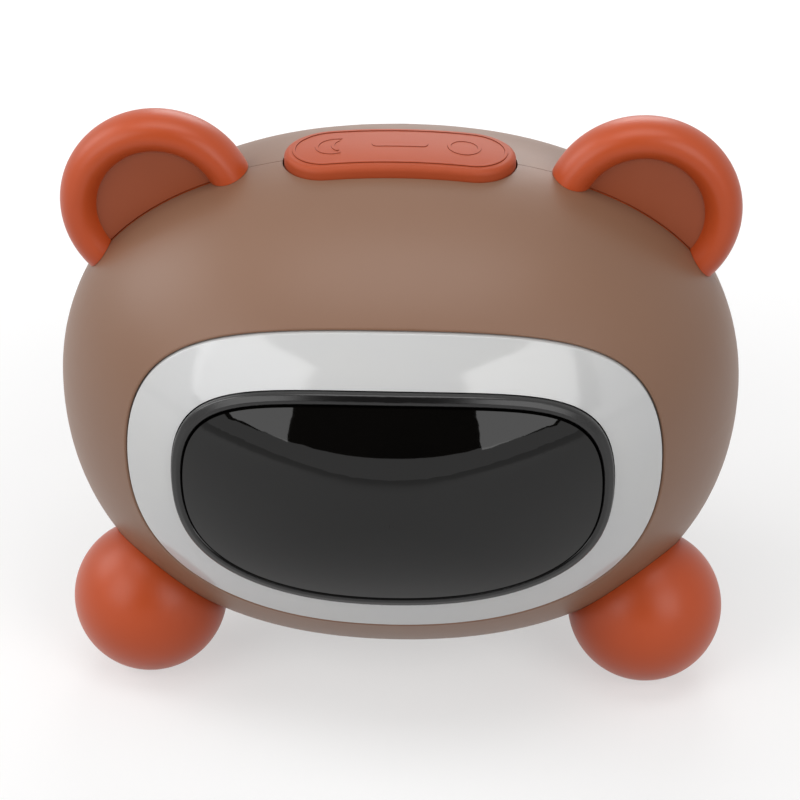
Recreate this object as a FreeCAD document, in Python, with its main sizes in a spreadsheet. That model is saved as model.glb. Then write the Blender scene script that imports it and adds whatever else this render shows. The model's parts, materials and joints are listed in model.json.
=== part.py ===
"""Alarm clock with a night light, shaped as a small bear's head that stands on two ball feet.

Units are millimetres.  The body is drawn about its own centre: +X is the right side seen from
the front, the display looks along -Y, and +Z is up.  Each finished piece is then lifted so that
the ball feet and the rest pad stand on the plane Z = 0.
"""

import FreeCAD
import Part
import math
import os
import re

Vector = FreeCAD.Vector
Rotation = FreeCAD.Rotation

# Driving dimensions
SIZES = [
    ("half_width", 75.0, "half of the body's width"),
    ("crown_height", 55.0, "body above its widest section"),
    ("belly_depth", 60.0, "body below its widest section"),
    ("front_depth", 59.6, "body in front of the parting plane"),
    ("rear_depth", 60.2, "body behind the parting plane"),
    ("section_power", 2.29, "squareness of the body seen from the front"),
    ("front_power", 1.80, "squareness of the front's profile"),
    ("rear_power", 2.10, "squareness of the rear's profile"),
    ("shell_wall", 2.4, "wall of both shells"),
    ("parting_gap", 0.16, "gap between the shells"),
    ("lip_reach", 2.0, "how far the rear shell's lip enters the front shell"),
    ("slip_fit", 0.15, "gap round a piece that sits in an opening"),
    ("seat_gap", 0.05, "gap between a piece and the face it rests on"),
    ("ring_half_width", 56.2, "white ring"),
    ("ring_half_height", 34.4, "white ring"),
    ("ring_power", 2.66, "squareness of the ring's outline"),
    ("ring_rise", 0.6, "ring's centre above the body's centre"),
    ("ring_wall", 2.0, "wall of the white ring"),
    ("ring_edge", 0.3, "rounding of the ring's outer edge"),
    ("opening_edge", 0.4, "rounding of the shell's edge round the ring"),
    ("flange_width", 2.5, "rim of the ring behind the shell"),
    ("flange_thickness", 1.5, "rim of the ring behind the shell"),
    ("bezel_flange", 2.0, "rim of the bezel behind the ring"),
    ("screen_half_width", 45.9, "black bezel"),
    ("screen_half_height", 24.65, "black bezel"),
    ("screen_power", 2.9, "squareness of the bezel's outline"),
    ("screen_rise", 1.2, "bezel's centre above the body's centre"),
    ("bezel_width", 2.4, "bezel seen from the front"),
    ("bezel_proud", 1.1, "bezel's face above the ring"),
    ("bezel_edge", 0.85, "rounding of both edges of the bezel"),
    ("bezel_ledge", 5.6, "ledge behind the window"),
    ("bezel_back", 1.4, "thickness of the bezel behind the ring's wall"),
    ("lens_proud", 0.6, "middle of the window above the ring"),
    ("lens_thickness", 2.0, "smoked window"),
    ("light_board_gap", 31.0, "front of the light board, ahead of the parting plane"),
    ("light_board_half_width", 53.0, "light board"),
    ("light_board_half_height", 31.5, "light board"),
    ("board_thickness", 1.6, "every circuit board"),
    ("light_frame_wall", 1.4, "walls of the light frame"),
    ("lamp_ring_half_width", 49.0, "path of the night-light lamps"),
    ("lamp_ring_half_height", 28.0, "path of the night-light lamps"),
    ("lamp_count", 14, "night-light lamps"),
    ("lamp_side", 3.5, "one surface-mounted lamp"),
    ("lamp_height", 1.4, "one surface-mounted lamp"),
    ("lamp_margin", 0.5, "room round a lamp in the light frame"),
    ("display_width", 65.0, "digit display"),
    ("display_height", 31.5, "digit display"),
    ("display_depth", 11.0, "digit display"),
    ("post_x", 38.5, "bezel's screw posts from the middle"),
    ("post_z", 6.0, "bezel's screw posts above and below its centre"),
    ("post_root", 0.4, "how far a post enters the bezel's flange"),
    ("post_radius", 2.0, "bezel's screw posts"),
    ("screw_radius", 1.0, "small screws"),
    ("screw_head_radius", 1.9, "small screws"),
    ("screw_head_height", 1.5, "small screws"),
    ("screw_length", 6.0, "small screws under the head"),
    ("screw_play", 0.2, "play round a screw in the piece that it holds"),
    ("head_play", 0.3, "play round the head of a shell screw"),
    ("bore_spare", 1.5, "depth of a screw's bore past its tip"),
    ("ear_x", 51.8, "centre of an ear from the middle"),
    ("ear_z", 42.6, "centre of an ear above the body's centre"),
    ("ear_ring_radius", 17.0, "centre line of an ear's rim"),
    ("ear_rim_half_width", 4.3, "an ear's rim seen from the front"),
    ("ear_rim_half_depth", 5.8, "an ear's rim front to back"),
    ("ear_web_front", 2.6, "front face of an ear's web, ahead of the parting plane"),
    ("ear_web_rear", 3.2, "rear face of an ear's web, behind the parting plane"),
    ("ear_web_round", 3.6, "hollow rounding between the web's rear face and the rim"),
    ("ear_bed_margin", 0.9, "how far the lining's bed enters the rim"),
    ("ear_root_radius", 15.5, "ear's root where it enters the shells"),
    ("ear_root_half", 2.5, "half thickness of the ear's root"),
    ("ear_root_play", 0.1, "play between the ear's root and its slot in the shells"),
    ("ear_root_rise", 0.6, "how far the root enters the web above the shells"),
    ("ear_catch", 1.6, "how far the catch inside stands out round the root"),
    ("ear_root_depth", 3.4, "how far the root reaches inside the shells"),
    ("lining_thickness", 1.0, "ear lining"),
    ("lining_gap", 0.3, "gap between the lining's lower edge and the shells"),
    ("foot_x", 55.7, "ball foot from the middle"),
    ("foot_y", -18.9, "ball foot from the parting plane"),
    ("foot_drop", 46.4, "ball foot below the body's centre"),
    ("foot_radius", 17.2, "ball foot"),
    ("spigot_radius", 4.0, "spigot of a foot"),
    ("spigot_reach", 0.4, "how far the spigot passes the wall"),
    ("foot_pad_height", 2.8, "flat pad inside the shell under the washer"),
    ("foot_pad_margin", 1.0, "how far that pad passes the washer"),
    ("washer_radius", 6.0, "washer of a foot screw"),
    ("washer_thickness", 1.2, "washer of a foot screw"),
    ("foot_screw_radius", 1.5, "foot and shell screws"),
    ("foot_screw_head", 2.9, "radius of the head"),
    ("foot_screw_length", 14.0, "foot screw under the head"),
    ("button_half_length", 24.6, "top button"),
    ("button_half_width", 9.7, "top button"),
    ("button_proud", 2.2, "top button above the crown"),
    ("button_round", 1.3, "rounding of the button's edge"),
    ("button_gap", 0.35, "gap round the top button"),
    ("button_flange", 1.5, "rim that keeps the button in"),
    ("button_flange_under", 47.4, "underside of that rim above the body's centre"),
    ("button_wall", 2.0, "walls of the button"),
    ("button_travel", 1.2, "how far the button goes down"),
    ("stem_radius", 3.0, "stem under the button"),
    ("switch_side", 6.0, "push switch"),
    ("switch_height", 3.4, "push switch without its stud"),
    ("switch_stud_radius", 1.7, "stud of a push switch"),
    ("switch_stud_height", 0.9, "stud of a push switch"),
    ("bracket_half_length", 35.0, "bracket under the button"),
    ("bracket_half_width", 11.0, "bracket under the button"),
    ("bracket_top", 42.6, "top of the bracket above the body's centre"),
    ("bracket_thickness", 1.8, "bracket under the button"),
    ("bracket_rib_width", 1.6, "ribs under the bracket"),
    ("bracket_rib_height", 4.0, "ribs under the bracket"),
    ("bracket_boss_x", 31.0, "bosses that carry the bracket"),
    ("bracket_boss_y", 7.5, "bosses that carry the bracket"),
    ("boss_radius", 3.0, "bosses inside the shells"),
    ("boss_cover", 0.6, "how far bosses, tube and rails stay under the face that they stand on"),
    ("post_cover", 0.4, "shell left over the ends of the screw posts"),
    ("panel_half_width", 53.4, "key sheet"),
    ("panel_half_height", 29.1, "key sheet"),
    ("panel_power", 3.0, "squareness of the key sheet's outline"),
    ("panel_rise", 2.6, "key sheet's centre above the body's centre"),
    ("sheet_thickness", 1.8, "key sheet"),
    ("panel_floor", 4.2, "depth of the floor's inner face under the key sheet"),
    ("panel_rim", 2.4, "how far the thick floor passes the key sheet"),
    ("panel_edge", 0.3, "rounding of the key sheet's outer edge"),
    ("key_gap", 0.15, "gap round each key"),
    ("key_proud", 0.25, "keys above the sheet"),
    ("key_travel", 0.8, "how far a key goes in"),
    ("key_rest", 0.15, "gap between a key's plunger and its pressed switch"),
    ("key_hole_margin", 0.6, "floor's holes round the keys"),
    ("key_radius", 4.8, "round keys"),
    ("dial_radius", 5.1, "round keys with a dial"),
    ("plunger_radius", 2.2, "plunger behind each key"),
    ("inner_column", 15.2, "inner keys from the middle"),
    ("outer_column", 34.2, "outer keys from the middle"),
    ("upper_row", 16.0, "upper keys above the body's centre"),
    ("lower_row", -6.2, "lower keys above the body's centre"),
    ("level_row", -4.0, "plus and minus keys above the body's centre"),
    ("power_row", 5.0, "power key above the body's centre"),
    ("rule_row", 4.8, "raised rules between the rows of keys"),
    ("rule_start", 8.6, "raised rules from the middle"),
    ("rule_end", 39.0, "raised rules from the middle"),
    ("rule_height", 0.2, "raised rules"),
    ("rule_width", 0.5, "raised rules"),
    ("main_board_gap", 35.0, "front of the main board, behind the parting plane"),
    ("main_board_width", 86.0, "main board"),
    ("main_board_height", 38.0, "main board"),
    ("main_board_rise", 4.0, "main board's centre above the body's centre"),
    ("main_screw_x", 40.0, "main board's screws from the middle"),
    ("main_screw_z", 16.0, "main board's screws above and below its centre"),
    ("grille_rows", 6, "rows of holes in the grille"),
    ("grille_pitch", 3.4, "holes of the grille across"),
    ("grille_step", 3.3, "rows of the grille along the shell"),
    ("grille_mouth_radius", 1.2, "holes of the grille at the outer face"),
    ("grille_throat_radius", 0.9, "holes of the grille at the wall's inner face"),
    ("grille_z", 45.2, "middle of the grille above the body's centre"),
    ("speaker_radius", 14.0, "loudspeaker"),
    ("speaker_depth", 4.6, "loudspeaker's basket"),
    ("magnet_radius", 8.0, "loudspeaker's magnet"),
    ("magnet_depth", 3.4, "loudspeaker's magnet"),
    ("cone_root_radius", 4.9, "loudspeaker's cone at its root"),
    ("cone_mouth_radius", 11.9, "loudspeaker's cone at its mouth"),
    ("cone_depth", 3.2, "loudspeaker's cone"),
    ("gasket_thickness", 0.8, "foam ring before the loudspeaker"),
    ("speaker_inset", 4.6, "shoulder that the foam ring rests on, under the surface"),
    ("speaker_wall", 1.6, "tube round the loudspeaker"),
    ("land_drop", 36.0, "flat land at the lower rear, below the body's centre"),
    ("land_cut", 0.85, "depth of the flat land"),
    ("port_width", 8.94, "charging socket"),
    ("port_height", 3.26, "charging socket"),
    ("port_length", 7.35, "charging socket"),
    ("port_wall", 0.3, "sheet of the charging socket"),
    ("port_inset", 0.4, "mouth of the socket under the land"),
    ("port_play", 0.3, "gap round the socket in the shell"),
    ("port_overhang", 1.6, "how far the socket's mouth passes its board"),
    ("tongue_width", 6.6, "tongue in the socket"),
    ("tongue_thickness", 0.7, "tongue in the socket"),
    ("port_board_width", 18.0, "board of the charging socket"),
    ("port_board_length", 14.0, "board of the charging socket"),
    ("port_board_thickness", 1.2, "board of the charging socket"),
    ("rail_width", 2.4, "card rails for that board"),
    ("rail_height", 5.0, "card rails for that board"),
    ("rail_bite", 0.9, "how far the rails hold the board's edges"),
    ("board_play", 0.1, "play round the board in its rails"),
    ("cell_length", 50.0, "battery pack"),
    ("cell_depth", 34.0, "battery pack"),
    ("cell_height", 9.6, "battery pack"),
    ("cell_under", 51.4, "battery pack's underside below the body's centre"),
    ("tray_wall", 1.6, "battery tray"),
    ("tray_height", 5.0, "battery tray's walls above the pack's underside"),
    ("shell_screw_x", 30.5, "shell screws from the middle"),
    ("shell_screw_drop", 44.0, "shell screws below the body's centre"),
    ("shell_boss_radius", 4.4, "bosses of the shell screws"),
    ("shell_screw_seat", 8.0, "seat of a shell screw's head behind the parting plane"),
    ("shell_screw_length", 16.0, "shell screws under the head"),
    ("pad_y", 9.5, "centre of the rest pad behind the parting plane"),
    ("pad_half_length", 18.0, "rest pad"),
    ("pad_half_width", 7.6, "rest pad"),
    ("pad_recess", 0.8, "recess of the rest pad in the rear shell"),
]

document = FreeCAD.newDocument("bear_alarm_clock")
sheet = document.addObject("Spreadsheet::Sheet", "sizes")
for row, (alias, amount, note) in enumerate(SIZES, start=1):
    sheet.set(f"A{row}", alias)
    sheet.set(f"B{row}", str(amount))
    sheet.set(f"C{row}", note)
    sheet.setAlias(f"B{row}", alias)
document.recompute()

ALIASES = {alias for alias, amount, note in SIZES}
FRONT, REAR = -1, 1
FAR = 100.0
LIFT = "foot_radius + foot_drop"


def size(alias):
    """The value of one cell of the sheet."""
    return float(sheet.get(alias))


def over_sheet(text):
    """A formula in which each size is read from the sheet."""
    return re.sub(r"[a-z_]+", lambda word: "sizes." + word.group() if word.group() in ALIASES else word.group(), text)


def bind(item, formulas):
    """Tie properties of an object to formulas over the sheet."""
    for name, text in formulas.items():
        item.setExpression(name, over_sheet(text))
    return item


def place(item, x="0", y="0", z="0", turn=Rotation()):
    """Put an object at formulas over the sheet."""
    item.Placement = FreeCAD.Placement(Vector(), turn)
    return bind(item, {"Placement.Base.x": x, "Placement.Base.y": y, "Placement.Base.z": z})


# Doc-object makers


def block(name, length, width, height, x, y, z):
    """A box whose sides and lowest corner are formulas."""
    item = document.addObject("Part::Box", name)
    bind(item, {"Length": length, "Width": width, "Height": height})
    return place(item, x, y, z)


TO_REAR = Rotation(Vector(1, 0, 0), -90)


def rod(name, radius, height, x, y, z, turn=Rotation()):
    """A cylinder whose sizes and place are formulas; turn is from +Z."""
    item = document.addObject("Part::Cylinder", name)
    bind(item, {"Radius": radius, "Height": height})
    return place(item, x, y, z, turn)


def shaped(name, shape):
    """An object that holds a shape made by Part's own functions, with the shape's place in its geometry."""
    moved = shape.Placement.toMatrix()
    settled = shape.copy()
    settled.Placement = FreeCAD.Placement()
    item = document.addObject("Part::Feature", name)
    item.Shape = settled.transformed(moved, copy=True)
    return item


def joined(name, items):
    """Several objects fused into one."""
    item = document.addObject("Part::MultiFuse", name)
    item.Shapes = items
    return item


def shared(name, items):
    """What several objects have in common."""
    item = document.addObject("Part::MultiCommon", name)
    item.Shapes = items
    return item


def less(name, base, tools):
    """One object with several others cut away."""
    tool = tools[0]
    if len(tools) > 1:
        tool = document.addObject("Part::Compound", name + "_tools")
        tool.Links = tools
    item = document.addObject("Part::Cut", name)
    item.Base = base
    item.Tool = tool
    return item


NODES = []


def node(label, item):
    """Name a finished piece and stand it on its feet."""
    item.Label = label
    bind(item, {"Placement.Base.z": LIFT})
    NODES.append(item)
    return item


# The body's form


def handle(power):
    """Handle of the cubic quarter arc that stands for a superellipse of this power."""
    return (8 * 2 ** (-1 / power) - 4) / 3


def quarter(power):
    """Poles of a quarter superellipse from (1, 0) to (0, 1)."""
    reach = handle(power)
    return [(1, 0), (1, reach), (reach, 1), (0, 1)]


def patches(side, growth):
    """The four quarter patches of the body's front or rear, and the four edges of its widest section."""
    depth = (size("front_depth") if side == FRONT else size("rear_depth")) + growth
    profile = quarter(size("front_power") if side == FRONT else size("rear_power"))
    section = quarter(size("section_power"))
    width = size("half_width") + growth
    faces = []
    rim = []
    for left_right in (-1, 1):
        for down_up in (-1, 1):
            height = (size("crown_height") if down_up > 0 else size("belly_depth")) + growth
            patch = Part.BezierSurface()
            patch.increase(3, 3)
            for i, (radius, along) in enumerate(profile, start=1):
                for j, (across, upward) in enumerate(section, start=1):
                    pole = Vector(left_right * width * across * radius, side * depth * along,
                                  down_up * height * upward * radius)
                    patch.setPole(i, j, pole)
            faces.append(patch.toShape())
            edge = Part.BezierCurve()
            edge.setPoles([Vector(left_right * width * a, 0, down_up * height * u) for a, u in section])
            rim.append(edge.toShape())
    return faces, rim


def closed(faces):
    """A solid from faces that enclose it."""
    shell = Part.makeShell(faces)
    shell.sewShape()
    solid = Part.makeSolid(shell)
    if solid.Volume < 0:
        solid.reverse()
    return solid


FORMS = {}


def form(side, growth):
    """Half of the body, front or rear, with every half axis longer by growth; each is made once."""
    key = (side, round(growth, 4))
    if key not in FORMS:
        faces, rim = patches(side, growth)
        FORMS[key] = closed(faces + [Part.Face(Part.Wire(Part.__sortEdges__(rim)))])
    return FORMS[key].copy()


def whole_form(growth):
    """Both halves of the body in one solid."""
    key = ("whole", round(growth, 4))
    if key not in FORMS:
        FORMS[key] = closed(patches(FRONT, growth)[0] + patches(REAR, growth)[0])
    return FORMS[key].copy()


def skin(side, outer, inner):
    """The layer between two growths of the half body."""
    return form(side, outer).cut(form(side, inner))


def outline_prism(half_width, half_height, power, rise, side, near=5.0):
    """A bar along Y with a superellipse outline, in front of or behind the parting plane."""
    edges = []
    for left_right in (-1, 1):
        for down_up in (-1, 1):
            edge = Part.BezierCurve()
            edge.setPoles([Vector(left_right * half_width * a, side * near, rise + down_up * half_height * u)
                           for a, u in quarter(power)])
            edges.append(edge.toShape())
    face = Part.Face(Part.Wire(Part.__sortEdges__(edges)))
    return face.extrude(Vector(0, side * FAR, 0))


def ring_prism(growth, near=5.0):
    return outline_prism(size("ring_half_width") + growth, size("ring_half_height") + growth,
                         size("ring_power"), size("ring_rise"), FRONT, near)


def screen_prism(growth, near=5.0):
    return outline_prism(size("screen_half_width") + growth, size("screen_half_height") + growth,
                         size("screen_power"), size("screen_rise"), FRONT, near)


def panel_prism(growth):
    return outline_prism(size("panel_half_width") + growth, size("panel_half_height") + growth,
                         size("panel_power"), size("panel_rise"), REAR)


def edges_on(solid, rule, drawn):
    """Edges whose points all meet a rule, without those that run along the drawn direction."""
    found = []
    for edge in solid.Edges:
        if not edge.Degenerated:
            points = edge.discretize(7)
            along = abs((points[-1] - points[0]).dot(drawn))
            if along < 0.9 * edge.Length and all(rule(point) for point in points):
                found.append(edge)
    return found


def rounded(solid, radius, half_width, half_height, power, rise):
    """Round the outer edges that run round a superellipse outline on the body's own surface."""
    def on_outline(point):
        reach = abs(point.x / half_width) ** power + abs((point.z - rise) / half_height) ** power
        return abs(reach ** (1 / power) - 1) < 0.015 and abs(point.y) > 10
    return solid.makeFillet(radius, edges_on(solid, on_outline, Vector(0, 1, 0)))


def rounded_ring(solid, growth, radius):
    return rounded(solid, radius, size("ring_half_width") + growth, size("ring_half_height") + growth,
                   size("ring_power"), size("ring_rise"))


def rounded_screen(solid, growth, radius):
    return rounded(solid, radius, size("screen_half_width") + growth, size("screen_half_height") + growth,
                   size("screen_power"), size("screen_rise"))


def rounded_panel(solid, growth, radius):
    return rounded(solid, radius, size("panel_half_width") + growth, size("panel_half_height") + growth,
                   size("panel_power"), size("panel_rise"))


def depth_at(x, z, side, growth=0.0):
    """Y of the body's surface over a point of the parting plane."""
    ray = Part.makeLine(Vector(x, 0, z), Vector(x, side * FAR, z))
    inside = ray.common(form(side, growth))
    return inside.BoundBox.YMax if side == REAR else inside.BoundBox.YMin


def outward(point, side, step=0.5):
    """Unit normal of the body's surface at a point, from three points near it."""
    def on_surface(x, z):
        return Vector(x, depth_at(x, z, side), z)
    across = on_surface(point.x + step, point.z) - on_surface(point.x - step, point.z)
    upward = on_surface(point.x, point.z + step) - on_surface(point.x, point.z - step)
    normal = upward.cross(across)
    normal.normalize()
    return normal if normal.y * side > 0 else normal * -1


def bar(start, direction, radius, length):
    """A cylinder from a point along a direction."""
    return Part.makeCylinder(radius, length, start, direction)


WALL = size("shell_wall")
GAP = size("seat_gap")

# Shared cutters of both shells


def stadium(growth, low, high):
    """A bar along Z with the top button's outline."""
    half = size("button_half_length") + growth
    radius = size("button_half_width") + growth
    straight = half - radius
    ends = [Part.makeCylinder(radius, high - low, Vector(x, 0, low)) for x in (-straight, straight)]
    middle = Part.makeBox(2 * straight, 2 * radius, high - low, Vector(-straight, -radius, low))
    return middle.fuse(ends).removeSplitter()


def on_pill(point):
    """Whether a point lies on the top button's outline."""
    straight = size("button_half_length") - size("button_half_width")
    reach = math.hypot(max(abs(point.x) - straight, 0), point.y)
    return abs(reach - size("button_half_width")) < 0.05


button_opening = shaped("button_opening", stadium(size("button_gap"), size("bracket_top"), FAR))


def ear_disc(mirror, radius, half):
    """A disc in the plane of an ear, about its centre."""
    start = Vector(mirror * size("ear_x"), -half, size("ear_z"))
    return bar(start, Vector(0, 1, 0), radius, 2 * half)


ear_slots = [shaped(f"ear_slot_{name}", ear_disc(mirror, size("ear_root_radius") + size("slip_fit"),
                                                 size("ear_root_half") + size("slip_fit")))
             for name, mirror in (("left", -1), ("right", 1))]

foot_centres = {name: Vector(mirror * size("foot_x"), size("foot_y"), -size("foot_drop"))
                for name, mirror in (("left", -1), ("right", 1))}


def foot_surface(name):
    """Where the line from the body's centre to a foot's centre leaves the body."""
    line = Part.makeLine(Vector(), foot_centres[name])
    inside = line.common(form(FRONT, 0))
    return max((vertex.Point for vertex in inside.Vertexes), key=lambda point: point.Length)


def along_foot(name, distance):
    """A point on a foot's line, at a distance outside the body's surface."""
    outward_line = Vector(foot_centres[name]).normalize()
    return foot_surface(name) + outward_line * distance, outward_line


def screw(head_at, direction, radius, head_radius, head_height, length):
    """A pan-head screw: head_at is under the head, direction runs to the tip."""
    shank = bar(head_at, direction, radius, length)
    head = bar(head_at, direction * -1, head_radius, head_height)
    return shank.fuse(head).removeSplitter()


def small_screw(head_at, direction, length=None):
    return screw(head_at, direction, size("screw_radius"), size("screw_head_radius"),
                 size("screw_head_height"), length or size("screw_length"))


def large_screw(head_at, direction, length):
    return screw(head_at, direction, size("foot_screw_radius"), size("foot_screw_head"),
                 size("screw_head_height"), length)


# Front shell

half_gap = size("parting_gap") / 2
front_block = rounded_ring(form(FRONT, 0).cut(ring_prism(size("slip_fit"))), size("slip_fit"), size("opening_edge"))
front_half = shaped("front_half", front_block.cut(form(FRONT, -WALL)))
rabbet = shaped("front_rabbet", form(FRONT, -WALL / 2 + size("slip_fit")).common(
    Part.makeBox(2 * FAR, size("lip_reach") + size("slip_fit"), 2 * FAR,
                 Vector(-FAR, -size("lip_reach") - size("slip_fit"), -FAR))))
parting_front = block("parting_front", "3 * half_width", "parting_gap", "3 * half_width",
                      "-1.5 * half_width", "-parting_gap / 2", "-1.5 * half_width")

foot_pads = []
foot_holes = []
for side_name in foot_centres:
    start, line = along_foot(side_name, -WALL - size("foot_pad_height"))
    pad = bar(start, line, size("washer_radius") + size("foot_pad_margin"),
              WALL + size("foot_pad_height")).common(form(FRONT, -WALL / 2))
    foot_pads.append(shaped(f"foot_pad_{side_name}", pad))
    start, line = along_foot(side_name, -FAR / 5)
    foot_holes.append(shaped(f"foot_hole_{side_name}",
                             bar(start, line, size("spigot_radius") + size("slip_fit"), FAR)))

screw_posts_front = []
screw_bores_front = []
for side_name, mirror in (("left", "-"), ("right", "")):
    post = rod(f"front_post_{side_name}", "shell_boss_radius", "front_depth", mirror + "shell_screw_x",
               "-front_depth", "-shell_screw_drop", TO_REAR)
    inner = shaped(f"front_post_limit_{side_name}", form(FRONT, -size("post_cover")))
    screw_posts_front.append(shared(f"front_post_trim_{side_name}", [post, inner]))
    screw_bores_front.append(rod(f"front_bore_{side_name}", "foot_screw_radius + seat_gap",
                                 "shell_screw_length", mirror + "shell_screw_x",
                                 "shell_screw_seat - shell_screw_length - bore_spare / 3", "-shell_screw_drop",
                                 TO_REAR))

front_body = joined("front_body", [less("front_wall", front_half, [rabbet])] + foot_pads + screw_posts_front)
front_shell = less("front_shell", front_body,
                   [parting_front, button_opening] + ear_slots + foot_holes + screw_bores_front)
node("front_shell", front_shell)

# White ring with a rim that is welded behind the front shell

flange_back = WALL + GAP + size("flange_thickness")
ring_block = rounded_ring(form(FRONT, 0).common(ring_prism(0)), 0, size("ring_edge"))
ring_plug = ring_block.cut(form(FRONT, -flange_back))
ring_flange = skin(FRONT, -WALL - GAP, -flange_back).common(ring_prism(size("flange_width")))
ring_pocket = form(FRONT, -size("ring_wall")).common(ring_prism(-size("ring_wall")))
ring_solid = ring_plug.fuse(ring_flange).cut(ring_pocket).cut(screen_prism(size("slip_fit")))
light_diffuser = node("light_diffuser", shaped("light_diffuser", ring_solid.removeSplitter()))

# Black bezel with its window

bezel_flange_front = size("ring_wall") + GAP
bezel_back = bezel_flange_front + size("bezel_back")
bezel_block = form(FRONT, size("bezel_proud")).common(screen_prism(0)).cut(screen_prism(-size("bezel_width")))
for growth in (0, -size("bezel_width")):
    bezel_block = rounded_screen(bezel_block, growth, size("bezel_edge"))
bezel_barrel = bezel_block.cut(form(FRONT, -bezel_back))
bezel_flange = skin(FRONT, -bezel_flange_front, -bezel_back).common(screen_prism(size("bezel_flange")))
window_back = size("lens_proud") - size("lens_thickness")
window_view = screen_prism(-size("bezel_width") - size("bezel_ledge"))
bezel_shelf = skin(FRONT, window_back - GAP, -bezel_back).common(screen_prism(-size("bezel_width") / 2))
bezel_solid = bezel_barrel.fuse([bezel_flange, bezel_shelf]).cut(window_view)
board_front = -size("light_board_gap")
post_places = [(side * size("post_x"), size("screen_rise") + level * size("post_z"))
               for side in (-1, 1) for level in (-1, 1)]
post_limit = form(FRONT, -bezel_back + size("post_root"))
screw_depth = size("screw_length") - size("board_thickness")
bezel_posts = []
bezel_bores = []
for x, z in post_places:
    post = bar(Vector(x, board_front, z), Vector(0, -1, 0), size("post_radius"), FAR)
    bezel_posts.append(post.common(post_limit))
    bezel_bores.append(bar(Vector(x, board_front + 1, z), Vector(0, -1, 0), size("screw_radius") + GAP,
                           screw_depth + 1 + size("bore_spare")))
bezel_solid = bezel_solid.fuse(bezel_posts).cut(Part.makeCompound(bezel_bores))
display_bezel = node("display_bezel", shaped("display_bezel", bezel_solid))

lens_outline = screen_prism(-size("bezel_width") - size("slip_fit"))
lens_solid = skin(FRONT, size("lens_proud"), window_back).common(lens_outline)
display_lens = node("display_lens", shaped("display_lens", lens_solid))

# Light frame between the ring and the light board, with a hole for each lamp

frame_wall = size("light_frame_wall")
frame_half_width = size("light_board_half_width")
frame_half_height = size("light_board_half_height")


def board_prism(growth, near, depth):
    """A slice of a bar with the light board's outline, its rear face at near ahead of the parting plane."""
    bar_shape = outline_prism(frame_half_width + growth, frame_half_height + growth,
                              size("ring_power"), size("ring_rise"), FRONT, near)
    slab = Part.makeBox(2 * FAR, depth, 2 * FAR, Vector(-FAR, -near - depth, -FAR))
    return bar_shape.common(slab)


def lamp_places():
    """Centres of the lamps, evenly spread by angle on their path."""
    count = int(size("lamp_count"))
    power = 2 / size("ring_power")
    places = []
    for index in range(count):
        angle = 2 * math.pi * (index + 0.5) / count
        cosine, sine = math.cos(angle), math.sin(angle)
        x = size("lamp_ring_half_width") * math.copysign(abs(cosine) ** power, cosine)
        z = size("lamp_ring_half_height") * math.copysign(abs(sine) ** power, sine)
        places.append((x, size("ring_rise") + z))
    return places


lamp_side = size("lamp_side")
frame_front = form(FRONT, -flange_back - GAP)
outer_wall = board_prism(0, size("light_board_gap"), FAR).cut(
    board_prism(-frame_wall, size("light_board_gap") - 1, FAR))
inner_wall = screen_prism(-size("flange_width"), size("light_board_gap")).cut(
    screen_prism(-size("flange_width") - frame_wall, size("light_board_gap") - 1))
inner_front = form(FRONT, -bezel_back - GAP)
frame_plate = board_prism(-frame_wall / 2, size("light_board_gap"), frame_wall)
display_window = screen_prism(-size("flange_width") - frame_wall)
frame_solid = outer_wall.common(frame_front).fuse(inner_wall.common(inner_front)).fuse(
    frame_plate.cut(display_window))
lamp_hole_side = lamp_side + 2 * size("lamp_margin")
lamp_holes = [Part.makeBox(lamp_hole_side, 3 * frame_wall, lamp_hole_side,
                           Vector(x - lamp_hole_side / 2, board_front - 2 * frame_wall, z - lamp_hole_side / 2))
              for x, z in lamp_places()]
frame_solid = frame_solid.cut(Part.makeCompound(lamp_holes))
light_frame = node("light_frame", shaped("light_frame", frame_solid.removeSplitter()))

board_thickness = size("board_thickness")
board_solid = board_prism(0, size("light_board_gap") - board_thickness, board_thickness)
for x, z in post_places:
    board_solid = board_solid.cut(bar(Vector(x, board_front - 1, z), Vector(0, 1, 0),
                                      size("screw_radius") + size("screw_play"), board_thickness + 2))
light_board = node("light_board", shaped("light_board", board_solid))

lamps = [Part.makeBox(lamp_side, size("lamp_height"), lamp_side,
                      Vector(x - lamp_side / 2, board_front - size("lamp_height"), z - lamp_side / 2))
         for x, z in lamp_places()]
light_lamps = node("light_lamps", shaped("light_lamps", Part.makeCompound(lamps)))

digit_display = node("digit_display", block(
    "digit_display", "display_width", "display_depth", "display_height", "-display_width / 2",
    "-light_board_gap - display_depth", "0"))
bind(digit_display, {"Placement.Base.z": LIFT + " + screen_rise - display_height / 2"})

board_rear = board_front + board_thickness
front_screws = [small_screw(Vector(x, board_rear, z), Vector(0, -1, 0)) for x, z in post_places]
light_screws = node("light_screws", shaped("light_screws", Part.makeCompound(front_screws)))

# Ears


def ear_rim(mirror):
    """A ring with an oval section, in the plane of an ear."""
    ring = size("ear_ring_radius")
    oval = Part.Ellipse(Vector(0, size("ear_rim_half_depth"), 0), Vector(size("ear_rim_half_width"), 0, 0), Vector())
    section = Part.Face(Part.Wire(oval.toShape()))
    section.translate(Vector(ring, 0, 0))
    rim = section.revolve(Vector(), Vector(0, 1, 0), 360)
    rim = Part.makeSolid(rim) if rim.ShapeType == "Shell" else rim
    rim.translate(Vector(mirror * size("ear_x"), 0, size("ear_z")))
    return rim


def largest(shape):
    """The largest solid of a shape."""
    return max(shape.Solids, key=lambda solid: solid.Volume)


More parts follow.
